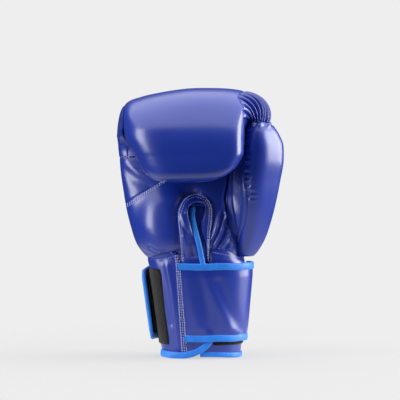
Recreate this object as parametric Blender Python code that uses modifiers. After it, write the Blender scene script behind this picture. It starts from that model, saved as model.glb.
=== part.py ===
"""Right-hand boxing glove, standing on its cuff with the palm facing -Y.

Run with: blender --background --python part.py

+Z runs from the cuff to the fist, -Y is the palm side and +X the thumb side. The origin is the centre of the
bounding box's bottom. The mitt is a padded tube: it runs up the hand, curls over at the knuckles and comes
down in front as the finger side. Every leather, foam and lining piece of the mitt is a patch of that tube,
given by its place along the spine, its angle round the section and its depth below the surface.
"""

import math

import bmesh
import bpy
import numpy as np
from mathutils import Matrix, Vector

MM = 0.001

# ---------------------------------------------------------------- driving dimensions, in millimetres
CENTRE_SHIFT = (0.0, 16.1)  # moves the hand's own axes so that the bounding box is centred on the origin

CUFF_TOP = 98.0
CUFF_BOTTOM = 6.6
CUFF_POWER = 2.4
CUFF_LEFT = (38.5, 51.0)  # half widths at the bottom and at the top
CUFF_RIGHT = (41.0, 49.0)
CUFF_DEPTH = (29.0, 33.0)
CUFF_CENTRE_Y = -3.0

HAND_BOTTOM = 99.5
KNUCKLE_Z = 205.0  # where the straight hand part ends and the curl begins
KNUCKLE_Y = 8.0
CURL_RADIUS = 26.0
FINGER_TIP_Z = 175.5
COVER_TIP_Z = 175.9  # where the covers stop, just short of the tip
FINGER_ROWS = (191.0, 185.0, 180.5, 177.5)  # heights of the covers' last rows before the tip

LEATHER = 1.5
LINING = 1.0
SEAM_GAP_DEG = 0.8  # half the gap between neighbouring patches, as an angle round the section
SEAM_GAP = 0.35  # half the same gap along the spine
FOAM_DEPTH = 4.0  # the foam's outer surface, below the leather's
# upside-down Us: middle x, radius, height where the arc starts, and where the left and right legs end
SLIT = (-2.5, 10.5, 144.0, -2.8, 7.0)
SLIT_TOP = SLIT[1] + SLIT[2]
FACING = (-4.5, 17.5, 147.0, -17.5, 10.5)  # outer edge of the facing round the slit
FACING_CLEARANCE = 0.4
CUTTER_BOTTOM = 90.0
THUMB_WINDOW = (112.0, 136.0)  # heights of the passage from the hand's pocket into the thumb's

STRAP_BOTTOM = 17.0
STRAP_TOP = 95.5
STRAP_LEATHER = 2.0
BINDING_WIDTH = 6.0
BINDING_THICK = 3.0
LOOP_BAND_LOW = 13.5
LOOP_BAND_HIGH = 89.0  # 75.5 tall: standard hook-and-loop tape
BAND_OUT = 0.35
BAND_THICK = 1.2
HOOK_OUT = 1.9
HOOK_THICK = 0.8
STRAP_OUT = 3.0
TIP_FLARE = 3.0

# ---------------------------------------------------------------- angles round the cuff, in degrees
# 0 is the thumb side, 90 the back, 180 the little-finger side and 270 the palm side
SLIT_LEFT_EDGE = 270.8
SLIT_RIGHT_EDGE = 279.0 - 360.0
SEAM_ANGLE = 253.4
BAND_HALF_ANGLE = 3.3
STRAP_ROOT = 257.6 - 360.0
STRAP_SIDE = 0.0
STRAP_CORNER = 137.0
STRAP_END = 187.0
HINGE_GAP = 0.9
LOOP_BAND_START = 284.0 - 360.0
LOOP_BAND_END = 221.0


# ---------------------------------------------------------------- small helpers
def spine_at(height=None, curl=None, finger=None):
    """Length along the mitt's spine, from a height on the hand, a curl angle or a height on the fingers."""
    hand = KNUCKLE_Z - HAND_BOTTOM
    if height is not None:
        return height - HAND_BOTTOM
    if curl is not None:
        return hand + math.radians(curl) * CURL_RADIUS
    return hand + math.pi * CURL_RADIUS + KNUCKLE_Z - finger


# place, then half widths to the left and right, and half depths outwards and towards the palm
MITT_SECTIONS = (
    (spine_at(height=99.5), 52, 38, 34, 30),
    (spine_at(height=115), 60, 40, 39, 33),
    (spine_at(height=130), 66, 43, 43, 34),
    (spine_at(height=150), 72, 49, 47, 31),
    (spine_at(height=165), 76, 54, 49, 28),
    (spine_at(height=190), 79, 62, 48, 23),
    (spine_at(height=205), 81, 66, 46, 20),
    (spine_at(curl=45), 82, 70, 43, 18),
    (spine_at(curl=70), 82, 72, 40, 17),
    (spine_at(curl=90), 80, 72, 39, 17),
    (spine_at(curl=110), 78, 68, 40.5, 17),
    (spine_at(curl=135), 75, 54, 42, 17),
    (spine_at(curl=150), 73, 47, 42.6, 16.7),
    (spine_at(curl=160), 71, 46, 43, 16.5),
    (spine_at(curl=180), 64, 43, 43, 16),
    (spine_at(finger=198), 59, 38.5, 42.5, 15.8),
    (spine_at(finger=190), 54, 33, 40.5, 15),
    (spine_at(finger=184), 48, 26, 35.5, 13.5),
    (spine_at(finger=180), 40.5, 17, 28, 11.5),
    (spine_at(finger=177), 30, 8, 18, 8),
    (spine_at(finger=FINGER_TIP_Z), 20, 3, 8, 4),
)
# the same for the pocket that the hand fills
POCKET_SECTIONS = (
    (spine_at(height=99.5), 40, 31, 21, 20),
    (spine_at(height=130), 42, 35, 18, 17),
    (spine_at(height=165), 44, 40, 16, 16),
    (spine_at(height=205), 44, 42, 15, 14),
    (spine_at(curl=45), 44, 41, 13, 12.5),
    (spine_at(curl=90), 43, 40, 12, 12),
    (spine_at(curl=135), 42, 38, 12, 11.5),
    (spine_at(curl=180), 40, 30, 11.5, 11),
    (spine_at(finger=188), 34, 22, 9, 8),
    (spine_at(finger=181), 14, 7, 4, 3),
    (spine_at(finger=FINGER_TIP_Z), 5, 2, 2, 1),
)
MITT_OUTER_POWER = 3.5
MITT_PALM_POWER = 2.5

# thumb: centre x, y, z and half sizes along x and y; its sections are level
THUMB_SECTIONS = (
    (47, -12, 101.5, 9, 13),
    (53, -15, 120, 11.5, 15),
    (58.5, -22, 148, 14.5, 19),
    (61.5, -29, 175, 16, 23),
    (64.5, -33, 198, 17.5, 24),
    (64, -34, 214, 15.5, 21),
    (62, -34, 226, 11, 15),
    (61.3, -34, 232, 6.5, 8),
    (61, -34, 234.5, 2.5, 3),
)
THUMB_POWER = 2.2


def section_point(angle, left, right, outer, inner, outer_power, inner_power):
    """A point of a rounded section with its own half size on each of its four sides."""
    cosine = math.cos(math.radians(angle))
    sine = math.sin(math.radians(angle))
    width = right if cosine >= 0 else left
    depth = outer if sine >= 0 else inner
    power = outer_power if sine >= 0 else inner_power
    across = math.copysign(width * abs(cosine) ** (2 / power), cosine)
    out = math.copysign(depth * abs(sine) ** (2 / power), sine)
    return across, out


def in_frame(x, y, z):
    """From millimetres in the hand's own axes to metres in the glove's frame."""
    return Vector(((x + CENTRE_SHIFT[0]) * MM, (y + CENTRE_SHIFT[1]) * MM, z * MM))


def spine_frame(place):
    """The spine's centre (y, z) and the angle of its outward side, at a length along it."""
    hand = KNUCKLE_Z - HAND_BOTTOM
    curl = math.pi * CURL_RADIUS
    if place <= hand:
        return KNUCKLE_Y * max(0.0, place / hand), HAND_BOTTOM + place, 0.0
    if place <= hand + curl:
        angle = (place - hand) / CURL_RADIUS
        centre_y = KNUCKLE_Y - CURL_RADIUS
        return centre_y + CURL_RADIUS * math.cos(angle), KNUCKLE_Z + CURL_RADIUS * math.sin(angle), angle
    return KNUCKLE_Y - 2 * CURL_RADIUS, KNUCKLE_Z - (place - hand - curl), math.pi


def interpolated(table, place):
    keys = [row[0] for row in table]
    return [float(np.interp(place, keys, [row[i] for row in table])) for i in range(1, len(table[0]))]


def mitt_point(place, angle, depth=0.0, of_pocket=False):
    """A point of the mitt at a depth below its outer surface, or outside the pocket's surface by -depth."""
    outer = section_point(angle, *interpolated(MITT_SECTIONS, place), MITT_OUTER_POWER, MITT_PALM_POWER)
    pocket = section_point(angle, *interpolated(POCKET_SECTIONS, place), MITT_OUTER_POWER, MITT_PALM_POWER)
    start = Vector(pocket if of_pocket else outer)
    inward = (Vector(pocket) - Vector(outer)).normalized()
    across, out = start + inward * depth
    centre_y, centre_z, turn = spine_frame(place)
    return in_frame(across, centre_y + out * math.cos(turn), centre_z + out * math.sin(turn))


def cuff_sizes(z):
    part = (z - CUFF_BOTTOM) / (CUFF_TOP - CUFF_BOTTOM)
    return [low + (high - low) * part for low, high in (CUFF_LEFT, CUFF_RIGHT, CUFF_DEPTH)]


def cuff_point(z, angle, out=0.0):
    """A point of the cuff at a distance outside its leather's outer surface."""
    left, right, deep = (size + out for size in cuff_sizes(z))
    across, back = section_point(angle, left, right, deep, deep, CUFF_POWER, CUFF_POWER)
    return in_frame(across, CUFF_CENTRE_Y + back, z)


def thumb_point(z, angle, depth=0.0):
    """A point of the thumb's level section at height z, moved inwards by depth."""
    keys = [row[2] for row in THUMB_SECTIONS]
    centre_x, centre_y, half_x, half_y = (
        float(np.interp(z, keys, [row[i] for row in THUMB_SECTIONS])) for i in (0, 1, 3, 4)
    )
    half_x, half_y = max(half_x - depth, 0.6), max(half_y - depth, 0.6)
    across, back = section_point(angle, half_x, half_x, half_y, half_y, THUMB_POWER, THUMB_POWER)
    return in_frame(centre_x + across, centre_y + back, z)


def spread(start, end, count):
    """count + 1 evenly spaced values from start to end."""
    return [start + (end - start) * i / count for i in range(count + 1)]


# ---------------------------------------------------------------- scene, materials and objects
def clear_scene():
    for obj in list(bpy.data.objects):
        bpy.data.objects.remove(obj, do_unlink=True)


def new_collection(name):
    collection = bpy.data.collections.new(name)
    bpy.context.scene.collection.children.link(collection)
    return collection


MATERIALS = {
    "glove_leather": ((0.02, 0.04, 0.33), 0.28, 0.0),
    "azure_binding": ((0.01, 0.22, 0.86), 0.45, 0.0),
    "loop_tape": ((0.012, 0.011, 0.010), 0.95, 0.0),
    "hook_tape": ((0.02, 0.02, 0.02), 0.8, 0.0),
    "foam": ((0.85, 0.84, 0.8), 0.9, 0.0),
    "lining": ((0.03, 0.03, 0.04), 0.9, 0.0),
}


def material_for(kind, node):
    """Each sub-part has its own material, made from its kind's colour, roughness and metallic value."""
    colour, roughness, metallic = MATERIALS[kind]
    material = bpy.data.materials.new(node + "_material")
    material.use_nodes = True
    shader = material.node_tree.nodes["Principled BSDF"]
    shader.inputs["Base Color"].default_value = (*colour, 1.0)
    shader.inputs["Roughness"].default_value = roughness
    shader.inputs["Metallic"].default_value = metallic
    return material


def finish_object(name, mesh_or_curve, kind, pivot=None):
    """Link a sub-part, give it its material and put its origin on its joint's axis."""
    obj = bpy.data.objects.new(name, mesh_or_curve)
    PARTS.objects.link(obj)
    obj.data.materials.append(material_for(kind, name))
    if pivot is None:
        obj.parent = FRAME
        return obj
    obj.data.transform(Matrix.Translation(-pivot.matrix_world.translation))
    obj.parent = pivot
    return obj


def new_pivot(name, location, parent):
    pivot = bpy.data.objects.new(name, None)
    PARTS.objects.link(pivot)
    pivot.parent = parent
    pivot.location = location - parent.matrix_world.translation
    bpy.context.view_layer.update()
    return pivot


# ---------------------------------------------------------------- surfaces and solids
def mesh_from(name, points, faces, flip=False):
    mesh = bpy.data.meshes.new(name)
    mesh.from_pydata([tuple(p) for p in points], [], [tuple(reversed(f)) if flip else f for f in faces])
    mesh.update()
    return mesh


def sheet(name, rows, thickness, kind, pivot=None, skip=None, close=False, end_cap=False):
    """A panel: an open surface through rows of points, thickened inwards with Solidify.

    skip(row, column) leaves a cell open, close joins the last column to the first, and end_cap closes the
    last row with one face.
    """
    columns = len(rows[0])
    points = [p for row in rows for p in row]
    faces = []
    for r in range(len(rows) - 1):
        for c in range(columns if close else columns - 1):
            if skip and skip(r, c):
                continue
            a, b = r * columns + c, r * columns + (c + 1) % columns
            faces.append((a, b, b + columns, a + columns))
    if end_cap:
        last = (len(rows) - 1) * columns
        faces.append(tuple(last + c for c in range(columns)))
    mesh = mesh_from(name, points, faces)
    form = bmesh.new()
    form.from_mesh(mesh)
    loose = [v for v in form.verts if not v.link_faces]
    bmesh.ops.delete(form, geom=loose, context="VERTS")
    form.to_mesh(mesh)
    form.free()
    mesh.shade_smooth()
    obj = finish_object(name, mesh, kind, pivot)
    shell = obj.modifiers.new("thickness", "SOLIDIFY")
    shell.thickness = thickness * MM
    shell.offset = -1.0
    shell.use_even_offset = False
    return obj


def slab(name, outer_rows, inner_rows, kind, pivot=None, close=False):
    """A foam piece: a loft between two unlike surfaces with the same rows and columns."""
    rows, columns = len(outer_rows), len(outer_rows[0])
    points = [p for row in outer_rows for p in row] + [p for row in inner_rows for p in row]
    inner = rows * columns
    faces = []
    across = columns if close else columns - 1
    for r in range(rows - 1):
        for c in range(across):
            a, b = r * columns + c, r * columns + (c + 1) % columns
            faces.append((a, b, b + columns, a + columns))
            faces.append((inner + a + columns, inner + b + columns, inner + b, inner + a))
    for c in range(across):
        a, b = c, (c + 1) % columns
        faces.append((b, a, inner + a, inner + b))
        a, b = a + (rows - 1) * columns, b + (rows - 1) * columns
        faces.append((a, b, inner + b, inner + a))
    if not close:
        for r in range(rows - 1):
            a, b = r * columns, (r + 1) * columns
            faces.append((a, b, inner + b, inner + a))
            a, b = a + columns - 1, b + columns - 1
            faces.append((b, a, inner + a, inner + b))
    mesh = mesh_from(name, points, faces)
    mesh.shade_smooth()
    return finish_object(name, mesh, kind, pivot)


def capped_loft(name, rings, kind, pivot=None):
    """A solid through rings of points, closed with a face at each end."""
    count = len(rings[0])
    points = [p for ring in rings for p in ring]
    faces = [tuple(range(count - 1, -1, -1))]
    for r in range(len(rings) - 1):
        for c in range(count):
            a, b = r * count + c, r * count + (c + 1) % count
            faces.append((a, b, b + count, a + count))
    faces.append(tuple((len(rings) - 1) * count + c for c in range(count)))
    mesh = mesh_from(name, points, faces)
    mesh.shade_smooth()
    return finish_object(name, mesh, kind, pivot)


def round_tube(name, points, radius, kind, pivot=None):
    """A rolled binding: a curve with a round section and filled caps."""
    curve = bpy.data.curves.new(name, "CURVE")
    curve.dimensions = "3D"
    curve.bevel_depth = radius * MM
    curve.bevel_resolution = 2
    curve.use_fill_caps = True
    spline = curve.splines.new("POLY")
    spline.points.add(len(points) - 1)
    for point, place in zip(spline.points, points):
        point.co = (*place, 1.0)
    return finish_object(name, curve, kind, pivot)


# ---------------------------------------------------------------- where the mitt's panels meet
def left_seam(place):
    """Angle of the seam between the fist cover and the little-finger side."""
    keys = [spine_at(height=99.5), spine_at(curl=90), spine_at(curl=120), spine_at(curl=150)]
    return float(np.interp(place, keys, [148, 148, 162, 184]))


def right_seam(place):
    """Angle of the seam between the fist cover and the thumb side, the gusset and the finger side."""
    curls = [spine_at(curl=c) for c in (30, 60, 120, 135, 150, 160)]
    return float(np.interp(place, [spine_at(height=99.5)] + curls, [42, 45, 60, 58, 42, 18, -4]))


def gusset_low(place):
    """Angle of the gusset's lower edge, above the thumb's tip."""
    keys = [spine_at(curl=62), spine_at(curl=90), spine_at(curl=120), spine_at(curl=140)]
    return float(np.interp(place, keys, [-4, 14, 18, 22]))


def foam_low(place):
    """Angle where the knuckle foam stops on the thumb side, short of the side panel."""
    return max(26.0, right_seam(place) - 2)


def mitt_rows(places, first_angle, last_angle, columns, depth=0.0, of_pocket=False):
    """Rows of points along the spine, from one angle to another; either may be a function of the place."""
    rows = []
    for place in places:
        low = first_angle(place) if callable(first_angle) else first_angle
        high = last_angle(place) if callable(last_angle) else last_angle
        angles = spread(low + SEAM_GAP_DEG, high - SEAM_GAP_DEG, columns)
        rows.append([mitt_point(place, a, depth, of_pocket) for a in angles])
    return rows


def diagonal_seam(angle):
    """Height of the overlocked seam that rises across the palm from the little-finger side."""
    return float(np.interp(angle, [180, 248, 262], [153, 177, 203]))


def u_outline(shape, margin=0.0):
    """An upside-down U, as x and z: up the left leg, over the round top above the shoulder, and down."""
    middle, radius, shoulder, left_foot, right_foot = shape
    radius += margin
    rise = spread(0, 1, 3)
    left = [(left_foot - margin + (middle - radius - left_foot + margin) * t, t) for t in rise]
    right = [(right_foot + margin + (middle + radius - right_foot - margin) * t, t) for t in rise]
    left, right = ([(x, HAND_BOTTOM + (shoulder - HAND_BOTTOM) * t) for x, t in leg] for leg in (left, right))
    angles = [math.radians(a) for a in spread(30, 150, 4)]
    arch = [(middle - radius * math.cos(a), shoulder + radius * math.sin(a)) for a in angles]
    return left + arch + right[::-1]


def facing_cutter():
    """A prism through the palm along Y, a little larger than the facing."""
    outline = u_outline(FACING, FACING_CLEARANCE)
    outline = [(outline[0][0], CUTTER_BOTTOM), *outline[1:-1], (outline[-1][0], CUTTER_BOTTOM)]
    count = len(outline)
    points = [in_frame(x, y, z) for y in (-60, 0) for x, z in outline]
    faces = [tuple(range(count)), tuple(range(2 * count - 1, count - 1, -1))]
    faces += [((i + 1) % count, i, count + i, count + (i + 1) % count) for i in range(count)]
    mesh = mesh_from("facing_cutter", points, faces)
    form = bmesh.new()
    form.from_mesh(mesh)
    bmesh.ops.recalc_face_normals(form, faces=form.faces)
    form.to_mesh(mesh)
    form.free()
    cutter = bpy.data.objects.new("facing_cutter", mesh)
    CUTTERS.objects.link(cutter)
    cutter.hide_render = True
    cutter.display_type = "WIRE"
    return cutter


def palm_at(x, z):
    """The point of the palm's surface at x and z."""
    left, right, _, inner = interpolated(MITT_SECTIONS, spine_at(height=z))
    part = abs(x) / (right if x >= 0 else left)
    out = inner * (1 - part**MITT_PALM_POWER) ** (1 / MITT_PALM_POWER)
    return in_frame(x, spine_frame(spine_at(height=z))[0] - out, z)


def thumb_window(places, first_column, last_column):
    """Cells left open where the thumb's pocket joins the hand's, on the thumb side just above the wrist."""
    low, high = (spine_at(height=z) for z in THUMB_WINDOW)
    return lambda r, c: first_column <= c < last_column and low <= (places[r] + places[r + 1]) / 2 <= high


def build_mitt_covers():
    top = spine_at(finger=COVER_TIP_Z)
    places = spread(spine_at(height=HAND_BOTTOM), spine_at(curl=0), 6)
    places += [spine_at(curl=c) for c in range(15, 181, 15)]
    places += [spine_at(finger=z) for z in FINGER_ROWS] + [top]
    sheet("fist_cover", mitt_rows(places, right_seam, left_seam, 12), LEATHER, "glove_leather")

    side = [spine_at(height=z) for z in (HAND_BOTTOM, 112, 124, 136, 152, 170, 188, 205)]
    side += [spine_at(curl=30), spine_at(curl=60) - SEAM_GAP]
    rows = mitt_rows(side, -44, right_seam, 9)
    sheet("thumb_side_panel", rows, LEATHER, "glove_leather", skip=thumb_window(side, 1, 4))

    puffed = spread(spine_at(curl=60) + SEAM_GAP, spine_at(curl=138), 6)
    rows = mitt_rows(puffed, gusset_low, right_seam, 4)
    sheet("ruched_thumb_gusset", rows, LEATHER, "glove_leather")

    upper = spread(spine_at(height=203) + SEAM_GAP, spine_at(curl=148), 9)
    rows = mitt_rows(upper, left_seam, 206, 4)
    sheet("little_finger_side_panel", rows, LEATHER, "glove_leather")

    # the two panels below are bounded by seams that cross the section, so their columns run along the spine
    angles = spread(148 + SEAM_GAP_DEG, 257, 9)
    columns = []
    for angle in angles:
        low = spine_at(height=diagonal_seam(angle)) + SEAM_GAP
        high = spine_at(height=203) - SEAM_GAP
        columns.append([mitt_point(place, angle) for place in spread(low, high, 4)])
    sheet("side_gore", [list(row) for row in zip(*columns)], LEATHER, "glove_leather")

    columns = []
    for angle in spread(148 + SEAM_GAP_DEG, 315, 17):
        low = spine_at(height=HAND_BOTTOM)
        high = spine_at(height=diagonal_seam(angle)) - SEAM_GAP
        columns.append([mitt_point(place, angle) for place in spread(low, high, 6)])
    palm = sheet("palm_panel", [list(row) for row in zip(*columns)], LEATHER, "glove_leather")
    cut = palm.modifiers.new("slit_facing_cut", "BOOLEAN")
    cut.operation = "DIFFERENCE"
    cut.solver = "EXACT"
    cut.object = facing_cutter()

    inner = [spine_at(height=204)] + [spine_at(curl=c) for c in range(15, 181, 20)]
    inner += [spine_at(finger=z) for z in (198.0, *FINGER_ROWS)] + [top]
    rows = mitt_rows(inner, lambda p: max(left_seam(p), 207.5), 312, 8)
    sheet("finger_side_panel", rows, LEATHER, "glove_leather")


def build_mitt_padding():
    hand = spread(spine_at(height=HAND_BOTTOM + 2), spine_at(height=203), 6)
    outer = mitt_rows(hand, 6, 176, 11, FOAM_DEPTH)
    inner = mitt_rows(hand, 6, 176, 11, -(LINING + 1.2), of_pocket=True)
    slab("back_hand_foam", outer, inner, "foam")

    curl = [spine_at(curl=c) for c in range(0, 181, 15)]
    curl[0] += 1.0
    curl.append(spine_at(finger=194))
    outer = mitt_rows(curl, foam_low, 172, 11, FOAM_DEPTH)
    inner = mitt_rows(curl, foam_low, 172, 11, -(LINING + 1.2), of_pocket=True)
    slab("knuckle_foam", outer, inner, "foam")

    rings = []
    angles = spread(0, 345, 23)
    for height, inset in ((188, 5.0), (184, 7.0), (181, 10.0)):
        place = spine_at(finger=height)
        rings.append([mitt_point(place, a, inset) for a in angles])
    capped_loft("fingertip_foam", rings, "foam")

    columns_out, columns_in = [], []
    for angle in spread(190, 256, 7):
        heights = spread(spine_at(height=HAND_BOTTOM + 3), spine_at(height=diagonal_seam(angle) - 6), 4)
        columns_out.append([mitt_point(p, angle, FOAM_DEPTH) for p in heights])
        columns_in.append([mitt_point(p, angle, -(LINING + 1.2), of_pocket=True) for p in heights])
    slab("palm_heel_foam", [*zip(*columns_out)], [*zip(*columns_in)], "foam")


def build_mitt_lining():
    """The fabric liner: back and palm halves round the hand, and outer and inner halves round the fingers."""
    hand = [spine_at(height=z) for z in (HAND_BOTTOM + 1, 112, 124, 136, 150, 170, 188, KNUCKLE_Z)]
    hand[-1] -= SEAM_GAP
    sheet("hand_lining_back", mitt_rows(hand, 0, 180, 10, -LINING, of_pocket=True), LINING, "lining")
    fingers = [spine_at(curl=c) for c in range(0, 181, 20)] + [spine_at(finger=188)]
    fingers[0] += SEAM_GAP
    sheet("finger_lining_outer", mitt_rows(fingers, 0, 180, 10, -LINING, of_pocket=True), LINING, "lining")
    sheet("finger_lining_inner", mitt_rows(fingers, 180, 360, 9, -LINING, of_pocket=True), LINING, "lining")

    slit_rows = sum(1 for p in hand if p <= spine_at(height=SLIT_TOP)) - 2
    angles = [180.45, 200, 220, 240, 259, 281, 300, 320, 340, 359.55]
    palm = [[mitt_point(p, a, -LINING, of_pocket=True) for a in angles] for p in hand]
    slit_column = angles.index(259)
    window = thumb_window(hand, angles.index(320), len(angles) - 1)
    sheet(
        "hand_lining_palm",
        palm,
        LINING,
        "lining",
        skip=lambda r, c: window(r, c) or (c == slit_column and r <= slit_rows),
    )


def build_grip_bar():
    """A round padded bar across the crease between palm and fingers, for the fingers to close on."""
    centre = in_frame(-12, KNUCKLE_Y - CURL_RADIUS, KNUCKLE_Z - 3)
    bpy.ops.mesh.primitive_cylinder_add(vertices=16, radius=5.0 * MM, depth=84 * MM, end_fill_type="NGON")
    bar = bpy.context.object
    bar.name = "grip_bar"
    for collection in list(bar.users_collection):
        collection.objects.unlink(bar)
    PARTS.objects.link(bar)
    bar.data.materials.append(material_for("glove_leather", "grip_bar"))
    bar.rotation_euler = (0.0, math.radians(90), 0.0)
    bar.location = centre
    bar.parent = FRAME
    edge = bar.modifiers.new("rounded_ends", "BEVEL")
    edge.width = 1.5 * MM
    edge.segments = 2


def build_palm_slit():
    """The U-shaped facing round the wrist opening, and the rolled binding on the left flap's edge."""
    outer = u_outline(FACING)
    inner = u_outline(SLIT)
    halfway = [((a[0] + b[0]) / 2, (a[1] + b[1]) / 2) for a, b in zip(outer, inner)]
    rows = [[palm_at(x, z) for x, z in line] for line in (inner, halfway, outer)]
    sheet("slit_facing", rows, LEATHER, "glove_leather")
    route = ((-6.8, 148.0), (-7.6, 145), (-7.4, 138), (-5.6, 128), (-3.4, 118), (-1.2, 108), (0.0, 100.6))
    points = [palm_at(x, z) + Vector((0, 0.6 * MM, 0)) for x, z in route]
    round_tube("slit_binding", points, 2.1, "azure_binding")


def build_thumb(pivot):
    """The thumb: an outer and an inner leather panel over foam and a two-piece lining."""
    heights = [101.5, 112, 124, 136, 148, 162, 175, 187, 198, 207, 214, 221, 226, 230, 232.6, 234.2]

    def rows(first, last, columns, depth, low, high, seam=3.2):
        levels = [z for z in heights if low <= z <= high]
        angles = spread(first + seam, last - seam, columns)
        return [[thumb_point(z, a, depth) for a in angles] for z in levels]

    sheet("thumb_outer_panel", rows(-148, 84, 11, 0, 0, 300), LEATHER, "glove_leather", pivot)
    inner_rows = rows(84, 212, 7, 0, 0, 300)
    window = thumb_window([spine_at(height=z) for z in heights], 2, 5)
    sheet("thumb_inner_panel", inner_rows, LEATHER, "glove_leather", pivot, skip=window)
    outer = rows(-140, 76, 9, 2.6, 120, 226)
    inner = rows(-140, 76, 9, 5.6, 120, 226)
    slab("thumb_foam", outer, inner, "foam", pivot)
    sheet("thumb_lining_outer", rows(-90, 90, 6, 6.4, 120, 221, 6), LINING, "lining", pivot)
    sheet(
        "thumb_lining_inner",
        rows(90, 270, 6, 6.4, 120, 221, 6),
        LINING,
        "lining",
        pivot,
        skip=lambda r, c: r == 0 and c in (1, 2),
    )


def build_thumb_web():
    """The panel between the palm and the thumb, which leaves the thumb free to move outwards."""
    rows = []
    for z in spread(HAND_BOTTOM + 10, 186, 6):
        palm = mitt_point(spine_at(height=z), 308, -2.6)
        thumb = thumb_point(z, 196, -2.2)
        rows.append([palm.lerp(thumb, part) for part in (0.0, 0.33, 0.67, 1.0)])
    sheet("thumb_web_panel", rows, LEATHER, "glove_leather")


def cuff_rows(first, last, columns, out, low, high, levels=3):
    return [
        [cuff_point(z, a, out) for a in spread(first, last, columns)] for z in spread(low, high, levels)
    ]


def build_cuff():
    high, low = CUFF_TOP, CUFF_BOTTOM + 0.4
    rows = cuff_rows(SLIT_RIGHT_EDGE, SEAM_ANGLE - 0.4, 22, 0, low, high)
    sheet("cuff_cover", rows, LEATHER, "glove_leather")
    rows = cuff_rows(SEAM_ANGLE + 0.4, SLIT_LEFT_EDGE, 2, 0, low, high)
    sheet("cuff_left_flap", rows, LEATHER, "glove_leather")
    outer = cuff_rows(SLIT_RIGHT_EDGE, SLIT_LEFT_EDGE, 22, -2.4, low, high - 1)
    inner = cuff_rows(SLIT_RIGHT_EDGE, SLIT_LEFT_EDGE, 22, -5.4, low, high - 1)
    slab("cuff_foam", outer, inner, "foam")
    rows = cuff_rows(SLIT_RIGHT_EDGE, SLIT_LEFT_EDGE, 22, -6.0, low, high - 1)
    sheet("cuff_lining", rows, LINING, "lining")

    # the bottom edge is bound with tape; its underside is the flat that the glove stands on
    section = ((1.6, 1.6), (1.6, 5.0), (0.6, 6.6), (-7.2, 6.6), (-8.2, 5.0), (-8.2, 1.6), (-6.8, 0), (0.2, 0))
    rings = []
    for angle in spread(SLIT_RIGHT_EDGE, SLIT_LEFT_EDGE, 24):
        rings.append([cuff_point(z, angle, out) for out, z in section])
    capped_loft("cuff_edge_binding", [list(reversed(ring)) for ring in rings], "azure_binding")

    angles = spread(SEAM_ANGLE - BAND_HALF_ANGLE, SEAM_ANGLE + BAND_HALF_ANGLE, 2)
    band = [[cuff_point(z, a, 1.7) for a in angles] for z in spread(8.0, 96, 3)]
    sheet("seam_band", band, 1.3, "glove_leather")

    low, high = LOOP_BAND_LOW, LOOP_BAND_HIGH
    rows = cuff_rows(LOOP_BAND_START, LOOP_BAND_END, 20, BAND_OUT + BAND_THICK, low, high)
    sheet("loop_band", rows, BAND_THICK, "loop_tape")


def hinge_line(angle):
    """Two points of a strap hinge, on the strap's outer surface."""
    out = STRAP_OUT + STRAP_LEATHER
    return cuff_point(STRAP_BOTTOM, angle, out), cuff_point(STRAP_TOP, angle, out)


def strap_pieces(name, first, last, columns, pivot):
    """One stretch of the strap: its leather and the bindings on its two long edges."""
    low, high = STRAP_BOTTOM + BINDING_WIDTH + 0.3, STRAP_TOP - BINDING_WIDTH - 0.3
    out = STRAP_OUT + STRAP_LEATHER
    rows = cuff_rows(first, last, columns, out, low, high, 2)
    sheet(name + "_leather", rows, STRAP_LEATHER, "glove_leather", pivot)
    rows = cuff_rows(first, last, columns, out + 0.5, high + 0.3, STRAP_TOP, 1)
    sheet(name + "_top_binding", rows, BINDING_THICK, "azure_binding", pivot)
    rows = cuff_rows(first, last, columns, out + 0.5, STRAP_BOTTOM, low - 0.3, 1)
    sheet(name + "_bottom_binding", rows, BINDING_THICK, "azure_binding", pivot)


def build_strap_tip(pivot):
    """The free end: it stands a little off the cuff, and its binding runs round three sides."""
    out = STRAP_OUT + STRAP_LEATHER

    def flare(angle):
        return TIP_FLARE * (angle - STRAP_CORNER) / (STRAP_END - STRAP_CORNER)

    def tip_rows(angles, heights, extra):
        return [[cuff_point(z, a, out + extra + flare(a)) for a in angles] for z in heights]

    first = STRAP_CORNER + HINGE_GAP
    inner_end = STRAP_END - 9.0
    low, high = STRAP_BOTTOM + BINDING_WIDTH, STRAP_TOP - BINDING_WIDTH
    angles = spread(first, inner_end, 5)
    heights = spread(low + 0.3, high - 0.3, 2)
    sheet("strap_tip_leather", tip_rows(angles, heights, 0), STRAP_LEATHER, "glove_leather", pivot)

    angles = spread(first, inner_end + 0.8, 5) + [STRAP_END]
    heights = [STRAP_BOTTOM] + spread(low, high, 2) + [STRAP_TOP]
    sheet(
        "strap_tip_binding",
        tip_rows(angles, heights, 0.5),
        BINDING_THICK,
        "azure_binding",
        pivot,
        skip=lambda r, c: 0 < r < len(heights) - 2 and c < len(angles) - 2,
    )
    angles = spread(first + 4, inner_end - 2, 4)
    heights = spread(low + 3, high - 3, 2)
    extra = HOOK_OUT + HOOK_THICK - out
    sheet("strap_tip_hook_patch", tip_rows(angles, heights, extra), HOOK_THICK, "hook_tape", pivot)


def build_strap():
    root = new_pivot("strap_root_pivot", hinge_line(STRAP_ROOT)[0], FRAME)
    side = new_pivot("strap_side_pivot", hinge_line(STRAP_SIDE)[0], root)
    corner = new_pivot("strap_tip_pivot", hinge_line(STRAP_CORNER)[0], side)
    strap_pieces("strap_front", STRAP_ROOT + HINGE_GAP, STRAP_SIDE - HINGE_GAP, 9, root)
    strap_pieces("strap_back", STRAP_SIDE + HINGE_GAP, STRAP_CORNER - HINGE_GAP, 10, side)
    rows = cuff_rows(70, STRAP_CORNER - 5, 5, HOOK_OUT + HOOK_THICK, LOOP_BAND_LOW + 12, STRAP_TOP - 10, 2)
    sheet("strap_back_hook_patch", rows, HOOK_THICK, "hook_tape", side)
    build_strap_tip(corner)


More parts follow.
